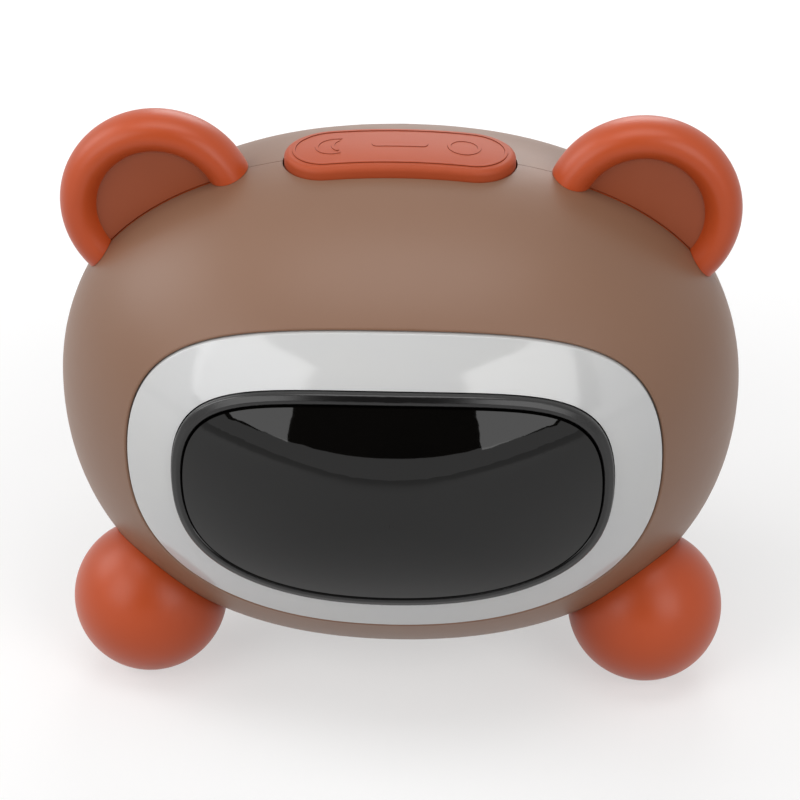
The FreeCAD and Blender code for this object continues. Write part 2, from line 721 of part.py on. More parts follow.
def ear_blank(mirror):
    """Rim and web, with a hollow rounding between them at the rear."""
    rear = size("ear_web_rear")
    web = bar(Vector(mirror * size("ear_x"), -size("ear_web_front"), size("ear_z")), Vector(0, 1, 0),
              size("ear_ring_radius"), size("ear_web_front") + rear)
    blank = ear_rim(mirror).fuse(web)
    corner = edges_on(blank, lambda point: abs(point.y - rear) < 0.01, Vector(0, 1, 0))
    return blank.makeFillet(size("ear_web_round"), corner)


def lining_bar(mirror, growth, depth):
    """A disc from the web's front face backwards, with the outline of the lining's bed."""
    radius = size("ear_ring_radius") - size("ear_rim_half_width") + size("ear_bed_margin") + growth
    start = Vector(mirror * size("ear_x"), -size("ear_web_front"), size("ear_z"))
    return bar(start, Vector(0, 1, 0), radius, depth)


def ear_solid(mirror):
    """Rim and web about the ear's own axis, seated on the shells, with a root and a catch inside."""
    outside = largest(ear_blank(mirror).cut(whole_form(GAP)))
    inside = whole_form(-WALL - size("ear_root_depth"))
    root = ear_disc(mirror, size("ear_root_radius"), size("ear_root_half") - size("ear_root_play")).common(
        whole_form(size("ear_root_rise"))).cut(inside)
    catch = ear_disc(mirror, size("ear_root_radius") + size("ear_catch"),
                     size("ear_root_half") + size("ear_catch")).common(
        whole_form(-WALL - 2 * GAP)).cut(inside)
    bed = lining_bar(mirror, 0, size("lining_thickness")).cut(whole_form(GAP))
    return outside.fuse([root, catch]).cut(bed)


def lining_solid(mirror):
    """The plate that lines the hollow in the front of an ear."""
    plate = lining_bar(mirror, -size("slip_fit"), size("lining_thickness") - GAP)
    return largest(plate.cut(whole_form(size("lining_gap"))))


for side_name, mirror in (("left", -1), ("right", 1)):
    node(f"ear_{side_name}", shaped(f"ear_{side_name}", ear_solid(mirror)))
    node(f"ear_lining_{side_name}", shaped(f"ear_lining_{side_name}", lining_solid(mirror)))

# Ball feet with their screws

for side_name, centre in foot_centres.items():
    ball = document.addObject("Part::Sphere", f"ball_{side_name}")
    bind(ball, {"Radius": "foot_radius"})
    place(ball, ("-" if side_name == "left" else "") + "foot_x", "foot_y", "-foot_drop")
    seat = shaped(f"foot_seat_{side_name}", form(FRONT, GAP))
    seated = less(f"foot_ball_{side_name}", ball, [seat])
    start, line = along_foot(side_name, -WALL - size("spigot_reach"))
    spigot = shaped(f"spigot_{side_name}", bar(start, line, size("spigot_radius"), size("foot_radius") / 2))
    start, line = along_foot(side_name, -WALL - size("spigot_reach") - 3)
    bore = shaped(f"foot_bore_{side_name}", bar(start, line, size("foot_screw_radius") + GAP,
                                                size("foot_screw_length") + 2.0))
    foot = less(f"foot_{side_name}", joined(f"foot_body_{side_name}", [seated, spigot]), [bore])
    node(f"foot_{side_name}", foot)

washers = []
foot_screws = []
washer_seat = -WALL - size("foot_pad_height") - GAP
for side_name in foot_centres:
    start, line = along_foot(side_name, washer_seat - size("washer_thickness"))
    disc = bar(start, line, size("washer_radius"), size("washer_thickness"))
    washers.append(disc.cut(bar(start - line, line, size("foot_screw_radius") + size("screw_play"), 4)))
    foot_screws.append(large_screw(start - line * GAP, line, size("foot_screw_length")))
node("foot_washers", shaped("foot_washers", Part.makeCompound(washers)))
node("foot_screws", shaped("foot_screws", Part.makeCompound(foot_screws)))

# Rear shell

rear_void = form(REAR, -WALL).cut(panel_prism(size("panel_rim")).cut(form(REAR, -size("panel_floor"))))
rear_half = shaped("rear_half", form(REAR, 0).cut(rear_void))
sheet_floor = size("sheet_thickness") + GAP
sheet_recess = shaped("sheet_recess", panel_prism(size("slip_fit")).cut(form(REAR, -sheet_floor)))
lip_slab = Part.makeBox(2 * FAR, size("lip_reach") + 1.0, 2 * FAR, Vector(-FAR, -size("lip_reach"), -FAR))
lip_front = form(FRONT, -WALL / 2).cut(form(FRONT, -WALL)).common(lip_slab)
lip_rear = form(REAR, -WALL / 2).cut(form(REAR, -WALL)).common(lip_slab)
rear_lip = shaped("rear_lip", lip_front.fuse(lip_rear))
rear_gap = shaped("rear_gap", Part.makeBox(3 * FAR, half_gap, 3 * FAR, Vector(-1.5 * FAR, 0, -1.5 * FAR)).cut(
    form(FRONT, -WALL / 2).fuse(form(REAR, -WALL / 2))))

inner_x, outer_x = size("inner_column"), size("outer_column")
upper, lower, level = size("upper_row"), size("lower_row"), size("level_row")
dial, plain = size("dial_radius"), size("key_radius")
bells = [(-3.3, 3.9, 1.9), (3.3, 3.9, 1.9), (-2.9, -4.2, 1.0), (2.9, -4.2, 1.0)]
KEYS = {
    "alarm_one_key": (outer_x, upper, [(0, 0, plain)] + bells),
    "alarm_two_key": (inner_x, upper, [(0, 0, plain)] + bells),
    "time_key": (-inner_x, upper, [(0, 0, dial)]),
    "sun_moon_key": (-outer_x, upper, [(2.4, 0, 4.2), (-2.0, 0, dial)]),
    "plus_key": (outer_x, level, [(0, 0, plain)]),
    "minus_key": (inner_x, level, [(0, 0, plain)]),
    "power_key": (0.0, size("power_row"), [(0, 0, plain)]),
    "sound_key": (-inner_x, lower, [(0, 0, dial)]),
    "light_key": (-outer_x, lower, [(0, 0, dial)]),
}


def key_prism(key, growth):
    """A bar along Y with a key's outline, which is a union of discs."""
    x, z, discs = KEYS[key]
    bars = [bar(Vector(x + dx, 5, z + dz), Vector(0, 1, 0), radius + growth, FAR) for dx, dz, radius in discs]
    return bars[0].fuse(bars[1:]).removeSplitter() if len(bars) > 1 else bars[0]


key_holes = [shaped(f"{key}_hole", key_prism(key, size("key_hole_margin"))) for key in KEYS]

board_bosses = []
board_bores = []
main_rear = size("main_board_gap") + board_thickness
for column in (-1, 1):
    for line_up in (-1, 1):
        x = column * size("main_screw_x")
        z = size("main_board_rise") + line_up * size("main_screw_z")
        label = f"{'left' if column < 0 else 'right'}_{'low' if line_up < 0 else 'high'}"
        boss = bar(Vector(x, main_rear + GAP, z), Vector(0, 1, 0), size("boss_radius"), FAR)
        boss_limit = form(REAR, -size("panel_floor") + size("boss_cover"))
        board_bosses.append(shaped(f"board_boss_{label}", boss.common(boss_limit)))
        board_bores.append(shaped(f"board_bore_{label}", bar(Vector(x, main_rear - 1, z), Vector(0, 1, 0),
                                                             size("screw_radius") + GAP, size("screw_length"))))

# Flat land at the lower rear, with the charging socket behind it
land = Vector(0, depth_at(0, -size("land_drop"), REAR), -size("land_drop"))
land_normal = outward(land, REAR)
land_up = Vector(1, 0, 0).cross(land_normal) * -1
if land_up.z < 0:
    land_up = land_up * -1
land_plane = FreeCAD.Placement(land, Rotation(Vector(1, 0, 0), land_normal, land_up, "XYZ"))


def on_land(x_low, x_high, out_low, out_high, up_low, up_high):
    """A box along the land's own axes: across, out of the land, and up along it."""
    solid = Part.makeBox(x_high - x_low, out_high - out_low, up_high - up_low, Vector(x_low, out_low, up_low))
    solid.Placement = land_plane
    return solid


mouth = -size("land_cut") - size("port_inset")
port_half = size("port_width") / 2
port_low = -size("port_height") / 2
land_cutter = shaped("land_cutter", on_land(-30, 30, -size("land_cut"), 20, -30, 30))


def port_bar(growth, out_low, out_high):
    """A rounded bar along the land's normal with the socket's outline."""
    half_height = size("port_height") / 2 + growth
    straight = port_half + growth - half_height
    middle = Part.makeBox(2 * straight, out_high - out_low, 2 * half_height,
                          Vector(-straight, out_low, -half_height))
    ends = [Part.makeCylinder(half_height, out_high - out_low, Vector(x, out_low, 0), Vector(0, 1, 0))
            for x in (-straight, straight)]
    solid = middle.fuse(ends).removeSplitter()
    solid.Placement = land_plane
    return solid


port_hole = shaped("port_hole", port_bar(size("port_play"), mouth - size("port_length"), 10))
port_board_top = port_low - GAP
port_board_low = port_board_top - size("port_board_thickness")
board_out = mouth - size("port_overhang")
board_in = board_out - size("port_board_length")
board_half = size("port_board_width") / 2
rails = []
rail_slots = []
for label, mirror in (("left", -1), ("right", 1)):
    near = mirror * (board_half - size("rail_bite"))
    far = near + mirror * size("rail_width")
    rail = on_land(min(near, far), max(near, far), board_in + 4, 0,
                   port_board_low - size("rail_height") / 2, port_board_top + size("rail_height") / 2)
    rails.append(shaped(f"rail_{label}", rail.common(form(REAR, -size("boss_cover")))))
    rail_slots.append(shaped(f"rail_slot_{label}", on_land(
        min(0, mirror * (board_half + size("board_play"))),
        max(0, mirror * (board_half + size("board_play"))),
        board_in - 1, board_out + size("board_play"),
        port_board_low - size("board_play"), port_board_top + size("board_play"))))

# Grille and the loudspeaker's seat
grille_centre = Vector(0, 0, size("grille_z"))
grille_centre.y = depth_at(0, size("grille_z"), REAR)
grille_normal = outward(grille_centre, REAR)
grille_up = Vector(1, 0, 0).cross(grille_normal)
if grille_up.z < 0:
    grille_up = grille_up * -1


def grille_holes():
    """A triangle of holes, one in the top row and one more in each row below it."""
    rows = int(size("grille_rows"))
    throat = size("grille_throat_radius")
    flare = size("grille_mouth_radius") - throat
    holes = []
    for line_down in range(rows):
        lift = ((rows - 1) * 2 / 3 - line_down) * size("grille_step")
        for column in range(line_down + 1):
            across = (column - line_down / 2) * size("grille_pitch")
            start = grille_centre + Vector(across, 0, 0) + grille_up * lift - grille_normal * 2 * WALL
            holes.append(Part.makeCone(throat - flare, throat + 2 * flare, 3 * WALL, start, grille_normal))
    return holes


grille = shaped("grille", Part.makeCompound(grille_holes()))
speaker_bore = size("speaker_radius") + size("slip_fit")
tube_radius = speaker_bore + size("speaker_wall")
gasket_face = -size("speaker_inset")
speaker_face = gasket_face - size("gasket_thickness")
speaker_back = speaker_face - size("speaker_depth")


def behind_grille(depth):
    """A point on the grille's axis, at a distance outside the shell's surface."""
    return grille_centre + grille_normal * depth


tube = bar(behind_grille(speaker_back), grille_normal, tube_radius, FAR).common(form(REAR, -size("boss_cover")))
tube_inside = bar(behind_grille(speaker_back - 20), grille_normal, speaker_bore, 20 - speaker_back + gasket_face)
sound_path = bar(behind_grille(gasket_face - 1), grille_normal, speaker_bore - 2, 20).common(form(REAR, -WALL))
speaker_tube = shaped("speaker_tube", tube)
speaker_room = shaped("speaker_room", tube_inside.fuse(sound_path))

bracket_bosses = []
bracket_bores = []
for label, mirror in (("left", -1), ("right", 1)):
    start = Vector(mirror * size("bracket_boss_x"), size("bracket_boss_y"), size("bracket_top"))
    boss = bar(start, Vector(0, 0, 1), size("boss_radius"), FAR).common(form(REAR, -size("boss_cover")))
    bracket_bosses.append(shaped(f"bracket_boss_{label}", boss))
    bracket_bores.append(shaped(f"bracket_bore_{label}", bar(start - Vector(0, 0, 1), Vector(0, 0, 1),
                                                             size("screw_radius") + GAP, size("screw_length"))))

rear_posts = []
rear_bores = []
for side_name, mirror in (("left", "-"), ("right", "")):
    post = rod(f"rear_post_{side_name}", "shell_boss_radius", "rear_depth", mirror + "shell_screw_x",
               "parting_gap / 2", "-shell_screw_drop", TO_REAR)
    inner = shaped(f"rear_post_limit_{side_name}", form(REAR, -size("post_cover")))
    rear_posts.append(shared(f"rear_post_trim_{side_name}", [post, inner]))
    rear_bores.append(rod(f"rear_bore_{side_name}", "foot_screw_radius + screw_play", "rear_depth",
                          mirror + "shell_screw_x", "-1", "-shell_screw_drop", TO_REAR))
    rear_bores.append(rod(f"rear_counterbore_{side_name}", "foot_screw_head + head_play", "rear_depth",
                          mirror + "shell_screw_x", "shell_screw_seat", "-shell_screw_drop", TO_REAR))


def pad_bar(growth):
    """A bar along Z with the rest pad's outline."""
    half = size("pad_half_length") + growth
    radius = size("pad_half_width") + growth
    straight = half - radius
    low = -size("foot_radius") - size("foot_drop")
    ends = [Part.makeCylinder(radius, -low, Vector(x, size("pad_y"), low)) for x in (-straight, straight)]
    middle = Part.makeBox(2 * straight, 2 * radius, -low, Vector(-straight, size("pad_y") - radius, low))
    return middle.fuse(ends).removeSplitter()


pad_recess = shaped("pad_recess", pad_bar(size("slip_fit")).cut(form(REAR, -size("pad_recess"))))

rear_body = joined("rear_body", [rear_half, rear_lip, speaker_tube] + board_bosses + bracket_bosses
                   + rear_posts + rails)
rear_shell = less("rear_shell", rear_body,
                  [rear_gap, sheet_recess, button_opening, land_cutter, port_hole, grille, speaker_room, pad_recess]
                  + ear_slots + key_holes + board_bores + bracket_bores + rear_bores + rail_slots)
node("rear_shell", rear_shell)

pad_solid = pad_bar(0).cut(form(REAR, -size("pad_recess") + GAP))
node("rest_pad", shaped("rest_pad", max(pad_solid.Solids, key=lambda solid: -solid.CenterOfMass.z)))

# Key sheet and keys

sheet_block = rounded_panel(form(REAR, 0).common(panel_prism(0)), 0, size("panel_edge"))
sheet_solid = sheet_block.cut(form(REAR, -size("sheet_thickness"))).cut(
    Part.makeCompound([key_prism(key, size("key_gap")) for key in KEYS]))
rules = []
for mirror in (-1, 1):
    start, end = sorted((mirror * size("rule_start"), mirror * size("rule_end")))
    low = size("rule_row") - size("rule_width") / 2
    strip = Part.makeBox(end - start, FAR, size("rule_width"), Vector(start, 5, low))
    rules.append(strip.common(skin(REAR, size("rule_height"), -size("sheet_thickness") / 2)))
sheet_solid = sheet_solid.fuse(rules).removeSplitter()
node("key_sheet", shaped("key_sheet", sheet_solid))

cap_skin = skin(REAR, size("key_proud"), -size("sheet_thickness"))
stud_top = main_rear + size("switch_height") + size("switch_stud_height")
plunger_tip = stud_top + size("key_travel") + size("key_rest")
for key, (x, z, discs) in KEYS.items():
    cap = cap_skin.common(key_prism(key, 0))
    plunger = bar(Vector(x, plunger_tip, z), Vector(0, 1, 0), size("plunger_radius"), FAR).common(
        form(REAR, -size("sheet_thickness") / 2))
    node(key, shaped(key, cap.fuse(plunger)))

# Main board with its switches and chips

main_board = block("main_board_plate", "main_board_width", "board_thickness", "main_board_height",
                   "-main_board_width / 2", "main_board_gap", "main_board_rise - main_board_height / 2")
main_screw_places = [Vector(column * size("main_screw_x"), size("main_board_gap"),
                            size("main_board_rise") + line_up * size("main_screw_z"))
                     for column in (-1, 1) for line_up in (-1, 1)]
main_holes = shaped("main_board_holes", Part.makeCompound(
    [bar(place_at - Vector(0, 1, 0), Vector(0, 1, 0), size("screw_radius") + size("screw_play"), board_thickness + 2)
     for place_at in main_screw_places]))
node("main_board", less("main_board", main_board, [main_holes]))


def push_switch(foot_at, direction):
    """A push switch that stands on foot_at and is pressed against direction."""
    half = size("switch_side") / 2
    body = Part.makeBox(2 * half, 2 * half, size("switch_height"), Vector(-half, -half, 0))
    stud = Part.makeCylinder(size("switch_stud_radius"), size("switch_height") + size("switch_stud_height"))
    solid = body.fuse(stud).removeSplitter()
    solid.Placement = FreeCAD.Placement(foot_at, Rotation(Vector(0, 0, 1), direction))
    return solid


switches = [push_switch(Vector(x, main_rear, z), Vector(0, 1, 0)) for x, z, discs in KEYS.values()]
node("key_switches", shaped("key_switches", Part.makeCompound(switches)))


def chip(x, z, width, height, depth):
    """A component on the front of the main board."""
    return Part.makeBox(width, depth, height, Vector(x - width / 2, size("main_board_gap") - depth,
                                                     size("main_board_rise") + z - height / 2))


chips = [chip(-6, 2, 10, 10, 1.6), chip(14, 4, 5, 6, 1.6), chip(28, -8, 8, 5, 6), chip(-28, -8, 8, 5, 6),
         chip(-24, 8, 4, 8, 3)]
node("board_chips", shaped("board_chips", Part.makeCompound(chips)))
main_screws = [small_screw(place_at, Vector(0, 1, 0)) for place_at in main_screw_places]
node("board_screws", shaped("board_screws", Part.makeCompound(main_screws)))

# Top button with its bracket and switch

button_high = size("crown_height") + size("button_proud") + 1
flange_under = size("button_flange_under")
button_cap = stadium(0, flange_under, button_high).common(whole_form(size("button_proud")))
button_cap = button_cap.makeFillet(size("button_round"), edges_on(
    button_cap, lambda point: point.z > flange_under + 1 and on_pill(point), Vector(0, 0, 1)))
button_rim = stadium(size("button_gap") + size("button_flange"), flange_under, button_high).common(
    whole_form(-WALL - 2 * GAP))
button_room = stadium(-size("button_wall"), flange_under - 1, button_high).common(
    whole_form(size("button_proud") - size("button_wall")))
button_solid = button_cap.fuse(button_rim).cut(button_room)
snooze_stud_top = size("bracket_top") + size("switch_height") + size("switch_stud_height")
stem_low = snooze_stud_top + size("button_travel") + size("key_rest")
stem = bar(Vector(0, 0, stem_low), Vector(0, 0, 1), size("stem_radius"), FAR).common(
    whole_form(size("button_proud") - size("button_wall") / 2))
snooze_button = node("snooze_button", shaped("snooze_button", button_solid.fuse(stem)))

bracket_plate = block("bracket_plate", "2 * bracket_half_length", "2 * bracket_half_width", "bracket_thickness",
                      "-bracket_half_length", "-bracket_half_width", "bracket_top - bracket_thickness - seat_gap")
bracket_ribs = [block(f"bracket_rib_{label}", "2 * bracket_half_length", "bracket_rib_width", "bracket_rib_height",
                      "-bracket_half_length", y, "bracket_top - bracket_thickness - bracket_rib_height")
                for label, y in (("front", "-bracket_half_width"),
                                 ("rear", "bracket_half_width - bracket_rib_width"))]
bracket_holes = [rod(f"bracket_hole_{label}", "screw_radius + screw_play", "10", mirror + "bracket_boss_x",
                     "bracket_boss_y", "bracket_top - 8")
                 for label, mirror in (("left", "-"), ("right", ""))]
node("button_bracket", less("button_bracket", joined("bracket_body", [bracket_plate] + bracket_ribs), bracket_holes))
node("snooze_switch", shaped("snooze_switch", push_switch(Vector(0, 0, size("bracket_top") - GAP), Vector(0, 0, 1))))
bracket_under = size("bracket_top") - size("bracket_thickness") - GAP
bracket_screws = [small_screw(Vector(mirror * size("bracket_boss_x"), size("bracket_boss_y"), bracket_under),
                              Vector(0, 0, 1)) for mirror in (-1, 1)]
node("bracket_screws", shaped("bracket_screws", Part.makeCompound(bracket_screws)))

# Loudspeaker on its foam ring

basket = bar(behind_grille(speaker_back), grille_normal, size("speaker_radius"), size("speaker_depth"))
cone_room = Part.makeCone(size("cone_root_radius"), size("cone_mouth_radius"), size("cone_depth"),
                          behind_grille(speaker_face - size("cone_depth")), grille_normal)
magnet = bar(behind_grille(speaker_back - size("magnet_depth")), grille_normal, size("magnet_radius"),
             size("magnet_depth"))
node("speaker", shaped("speaker", basket.cut(cone_room).fuse(magnet).removeSplitter()))
gasket = bar(behind_grille(speaker_face), grille_normal, size("speaker_radius"), size("gasket_thickness"))
gasket_hole = bar(behind_grille(speaker_face - 1), grille_normal, speaker_bore - 2, size("gasket_thickness") + 2)
node("speaker_gasket", shaped("speaker_gasket", gasket.cut(gasket_hole)))

# Charging socket on its board

port_outer = port_bar(0, mouth - size("port_length"), mouth)
port_inner = port_bar(-size("port_wall"), mouth - size("port_length") + 1, mouth + 1)
tongue_half = size("tongue_width") / 2
tongue_up = size("tongue_thickness") / 2
tongue = on_land(-tongue_half, tongue_half, mouth - size("port_length") + 0.5, mouth - 1, -tongue_up, tongue_up)
node("charging_port", shaped("charging_port", port_outer.cut(port_inner).fuse(tongue)))
port_board = on_land(-board_half, board_half, board_in, board_out, port_board_low, port_board_top)
node("port_board", shaped("port_board", port_board))

# Battery pack in its tray on the belly

tray = block("tray_block", "cell_length + 2 * tray_wall", "cell_depth + 2 * tray_wall", "20",
             "-cell_length / 2 - tray_wall", "-cell_depth / 2 - tray_wall", "tray_height - cell_under - 20")
tray_limit = shaped("tray_limit", whole_form(-WALL - GAP))
tray_room = block("tray_room", "cell_length + 2 * slip_fit", "cell_depth + 2 * slip_fit", "20",
                  "-cell_length / 2 - slip_fit", "-cell_depth / 2 - slip_fit", "-cell_under - seat_gap")
node("battery_tray", less("battery_tray", shared("tray_trim", [tray, tray_limit]), [tray_room]))
battery = block("battery_pack", "cell_length", "cell_depth", "cell_height", "-cell_length / 2",
                "-cell_depth / 2", "0")
node("battery_pack", battery)
bind(battery, {"Placement.Base.z": LIFT + " - cell_under"})

# Screws that hold the shells together

shell_screws = [large_screw(Vector(mirror * size("shell_screw_x"), size("shell_screw_seat"),
                                   -size("shell_screw_drop")), Vector(0, -1, 0), size("shell_screw_length"))
                for mirror in (-1, 1)]
node("shell_screws", shaped("shell_screws", Part.makeCompound(shell_screws)))

# Check and write every piece

document.recompute()
for item in document.Objects:
    if "Invalid" in item.State or "Error" in item.State:
        raise RuntimeError(f"{item.Name} did not build: {item.State}")
os.makedirs("parts", exist_ok=True)
for item in NODES:
    if item.Shape.isNull() or not item.Shape.isValid():
        raise RuntimeError(f"{item.Label} has no valid shape")
    item.Shape.exportStep(os.path.join("parts", item.Label + ".step"))
    print(f"{item.Label}: {len(item.Shape.Solids)} solids, {item.Shape.Volume:.0f} mm3")
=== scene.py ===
# %% [markdown]
# # A bear-shaped alarm clock with a night light
# The clock is a rounded brown body of two moulded shells on two orange ball feet.  It has orange ears,
# a white ring that glows at night round a dark window, a press bar on top and a soft key sheet behind.
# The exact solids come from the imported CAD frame.  This lesson gives them their finishes, adds the raised
# drawings of the keys, drills four holes of the grille that the CAD lacks, and sets up the studio and the
# camera.

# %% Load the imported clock
import json
import math

import bpy
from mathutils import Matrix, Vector
from mathutils.bvhtree import BVHTree
from mathutils.kdtree import KDTree

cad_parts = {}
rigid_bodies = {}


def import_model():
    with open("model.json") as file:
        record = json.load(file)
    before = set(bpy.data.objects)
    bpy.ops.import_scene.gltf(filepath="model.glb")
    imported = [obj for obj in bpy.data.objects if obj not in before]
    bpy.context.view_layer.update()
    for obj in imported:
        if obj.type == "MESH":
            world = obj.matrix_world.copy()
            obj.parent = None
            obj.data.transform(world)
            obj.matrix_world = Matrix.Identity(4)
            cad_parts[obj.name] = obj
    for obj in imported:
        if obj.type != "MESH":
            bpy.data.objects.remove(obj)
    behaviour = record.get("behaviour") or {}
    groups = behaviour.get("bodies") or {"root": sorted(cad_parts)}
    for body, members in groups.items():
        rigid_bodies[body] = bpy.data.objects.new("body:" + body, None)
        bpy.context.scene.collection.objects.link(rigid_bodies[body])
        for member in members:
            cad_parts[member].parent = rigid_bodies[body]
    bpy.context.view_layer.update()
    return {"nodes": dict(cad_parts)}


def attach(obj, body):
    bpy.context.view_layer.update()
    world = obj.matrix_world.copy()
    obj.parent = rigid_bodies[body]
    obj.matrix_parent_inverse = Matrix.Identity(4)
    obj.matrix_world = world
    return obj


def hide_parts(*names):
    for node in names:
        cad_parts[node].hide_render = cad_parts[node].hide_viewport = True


for leftover in list(bpy.data.objects):
    bpy.data.objects.remove(leftover)
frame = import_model()
nodes = frame["nodes"]
HOUSING = "housing"

# %% [markdown]
# Sizes are written in millimetres, because that is how a moulder speaks of them, and the scene is in
# metres.  Colours are written as they look on a screen, so one function turns each to linear light.

# %% Units and colours
MM = 0.001


def colour(hex_text):
    """Linear RGBA of an sRGB hex colour."""
    channels = [int(hex_text[i:i + 2], 16) / 255 for i in (1, 3, 5)]
    linear = [c / 12.92 if c <= 0.04045 else ((c + 0.055) / 1.055) ** 2.4 for c in channels]
    return (*linear, 1.0)


def deselect():
    for thing in bpy.context.selected_objects:
        thing.select_set(False)
    bpy.context.view_layer.objects.active = None


deselect()
print("One millimetre is", MM, "in the scene")

# %% [markdown]
# The photographer stood a little to the right of the clock's middle and looked down on it by about
# thirty degrees, from rather near, so that the ball feet look large.  A camera at the same place keeps
# those proportions.  It aims a little under the body's centre, which puts the whole clock in the middle.

# %% Camera
VIEW_AZIMUTH = math.radians(2.06)
VIEW_ELEVATION = math.radians(29.8)
VIEW_DISTANCE = 550 * MM
LENS_LENGTH = 111.0
AIM_DROP = 5.5 * MM
CENTRE_HEIGHT = 63.6 * MM

centre = Vector((0, 0, CENTRE_HEIGHT))
towards_camera = Vector((math.sin(VIEW_AZIMUTH) * math.cos(VIEW_ELEVATION),
                         -math.cos(VIEW_AZIMUTH) * math.cos(VIEW_ELEVATION), math.sin(VIEW_ELEVATION)))
camera_data = bpy.data.cameras.new("photo_camera")
camera_data.lens = LENS_LENGTH
camera_data.sensor_width = 36.0
camera = bpy.data.objects.new("photo_camera", camera_data)
bpy.context.scene.collection.objects.link(camera)
camera.location = centre + towards_camera * VIEW_DISTANCE
aim = centre - Vector((0, 0, AIM_DROP))
camera.rotation_euler = (aim - camera.location).to_track_quat("-Z", "Y").to_euler()
bpy.context.scene.camera = camera
bpy.context.scene.view_settings.view_transform = "Standard"
print("Camera at", camera.location)

# %% [markdown]
# A finish is a small tree of shader nodes.  One helper adds any node with its settings and its links.  A
# second one builds a whole finish: two near colours that drift into each other, and a fine grain.  So
# each finish below is one line of what it is made of.

# %% Helpers for shader nodes


def add(tree, kind, settings=None, links=None):
    """Add a node; settings go to its properties or unlinked inputs, links are input: output socket."""
    item = tree.nodes.new(kind)
    for name, value in (settings or {}).items():
        if isinstance(name, str) and hasattr(item, name):
            setattr(item, name, value)
        else:
            item.inputs[name].default_value = value
    for name, socket in (links or {}).items():
        tree.links.new(socket, item.inputs[name])
    return item


def grain(tree, shader, place, size_mm, height_mm):
    """A fine moulded grain in the surface; size and height are real lengths."""
    speckle = add(tree, "ShaderNodeTexNoise", {"Scale": 1 / (size_mm * MM), "Detail": 3.0},
                  {"Vector": place.outputs["Object"]})
    bump = add(tree, "ShaderNodeBump", {"Strength": 1.0, "Distance": height_mm * MM},
               {"Height": speckle.outputs["Fac"]})
    tree.links.new(bump.outputs["Normal"], shader.inputs["Normal"])


def clouded(tree, shader, place, base, other, size_mm):
    """Two near colours that drift into each other over real lengths."""
    drift = add(tree, "ShaderNodeTexNoise", {"Scale": 1 / (size_mm * MM), "Detail": 2.0},
                {"Vector": place.outputs["Object"]})
    spread = add(tree, "ShaderNodeMapRange", {"From Min": 0.35, "From Max": 0.65, "To Max": 0.5},
                 {"Value": drift.outputs["Fac"]})
    mixed = add(tree, "ShaderNodeMix", {"data_type": "RGBA", 6: colour(base), 7: colour(other)},
                {0: spread.outputs["Result"]})
    tree.links.new(mixed.outputs[2], shader.inputs["Base Color"])


def finish(name, colours, drift_mm, grain_mm, settings):
    """A finish; grain is its size and height, or None for a polished face; settings name shader inputs."""
    material = bpy.data.materials.new(name)
    material.use_nodes = True
    tree = material.node_tree
    shader = tree.nodes["Principled BSDF"]
    place = add(tree, "ShaderNodeTexCoord")
    if grain_mm:
        grain(tree, shader, place, *grain_mm)
    clouded(tree, shader, place, *colours, drift_mm)
    for label, value in settings.items():
        shader.inputs[label].default_value = value
    return material


def dress(material, *names):
    """Give CAD nodes a finish."""
    for name in names:
        nodes[name].data.materials.clear()
        nodes[name].data.materials.append(material)
    print(material.name, "on", ", ".join(names))


# %% [markdown]
# The shells look like ABS from a blasted tool: satin, with a broad highlight that has no sharp edge.  The
# grain of such a face is about 0.1 mm and is drawn 0.35 mm coarse, so that it shows as a faint unevenness
# of the highlight.  Ears and feet are the same plastic in orange.

# %% Satin ABS of the shells, ears and feet
brown = finish("satin_brown_abs", ("#825f49", "#86634d"), 30.0, (0.35, 0.006),
               {"Roughness": 0.42, "IOR": 1.5})
dress(brown, "front_shell", "rear_shell")

orange = finish("satin_orange_abs", ("#bb4a1c", "#bf4e21"), 20.0, (0.35, 0.004),
                {"Roughness": 0.38, "IOR": 1.46})
dress(orange, "ear_left", "ear_right", "foot_left", "foot_right")

lining = finish("matt_orange_abs_lining", ("#93441f", "#984824"), 12.0, (0.3, 0.006), {"Roughness": 0.5})
dress(lining, "ear_lining_left", "ear_lining_right")

# %% [markdown]
# The press bar and the key sheet are matt silicone of one colour.  The photograph shows a dark line along
# each stroke of the raised drawings, where fine corners hold shade.  A darker silicone on the steep flanks
# of the strokes stands for that shade.

# %% Moulded silicone
silicone = finish("moulded_orange_silicone", ("#ad471f", "#b14b23"), 15.0, (0.25, 0.008),
                  {"Roughness": 0.55, "IOR": 1.41, "Sheen Weight": 0.06, "Sheen Roughness": 0.4})
# The flank silicone's darker colour is painted shade along the strokes, not a colour of the silicone.
flank_painted_shade = finish("silicone_flank_painted_shade", ("#742a12", "#7c3018"), 15.0, (0.25, 0.008),
                        {"Roughness": 0.65, "IOR": 1.41})
KEY_NAMES = sorted(name for name in nodes if name.endswith("_key"))
dress(silicone, "snooze_button", "key_sheet", *KEY_NAMES)

# %% [markdown]
# The ring is opal polycarbonate with a polished face, the window is smoked acrylic, and the bezel between
# them is black ABS.  The pad under the belly is grey rubber.

# %% Opal ring, black bezel, smoked window and rubber pad
opal = finish("glossy_opal_polycarbonate", ("#cfcfce", "#cbccce"), 25.0, None,
              {"Roughness": 0.1, "IOR": 1.55})
dress(opal, "light_diffuser")

bezel_black = finish("satin_black_abs", ("#121111", "#151414"), 10.0, (0.3, 0.004), {"Roughness": 0.22})
dress(bezel_black, "display_bezel", "digit_display")

smoked = finish("smoked_acrylic", ("#080706", "#0b0a09"), 20.0, None,
                {"Roughness": 0.03, "IOR": 1.45, "Specular IOR Level": 0.42})
dress(smoked, "display_lens")

rubber = finish("moulded_grey_rubber", ("#4a4341", "#3f3937"), 8.0, (0.4, 0.01), {"Roughness": 0.7})
dress(rubber, "rest_pad")

# %% [markdown]
# Inside the clock nobody sees much, only what shows through the grille and the gaps, but the part may be
# opened.  Each inner piece gets the finish that its real one has.

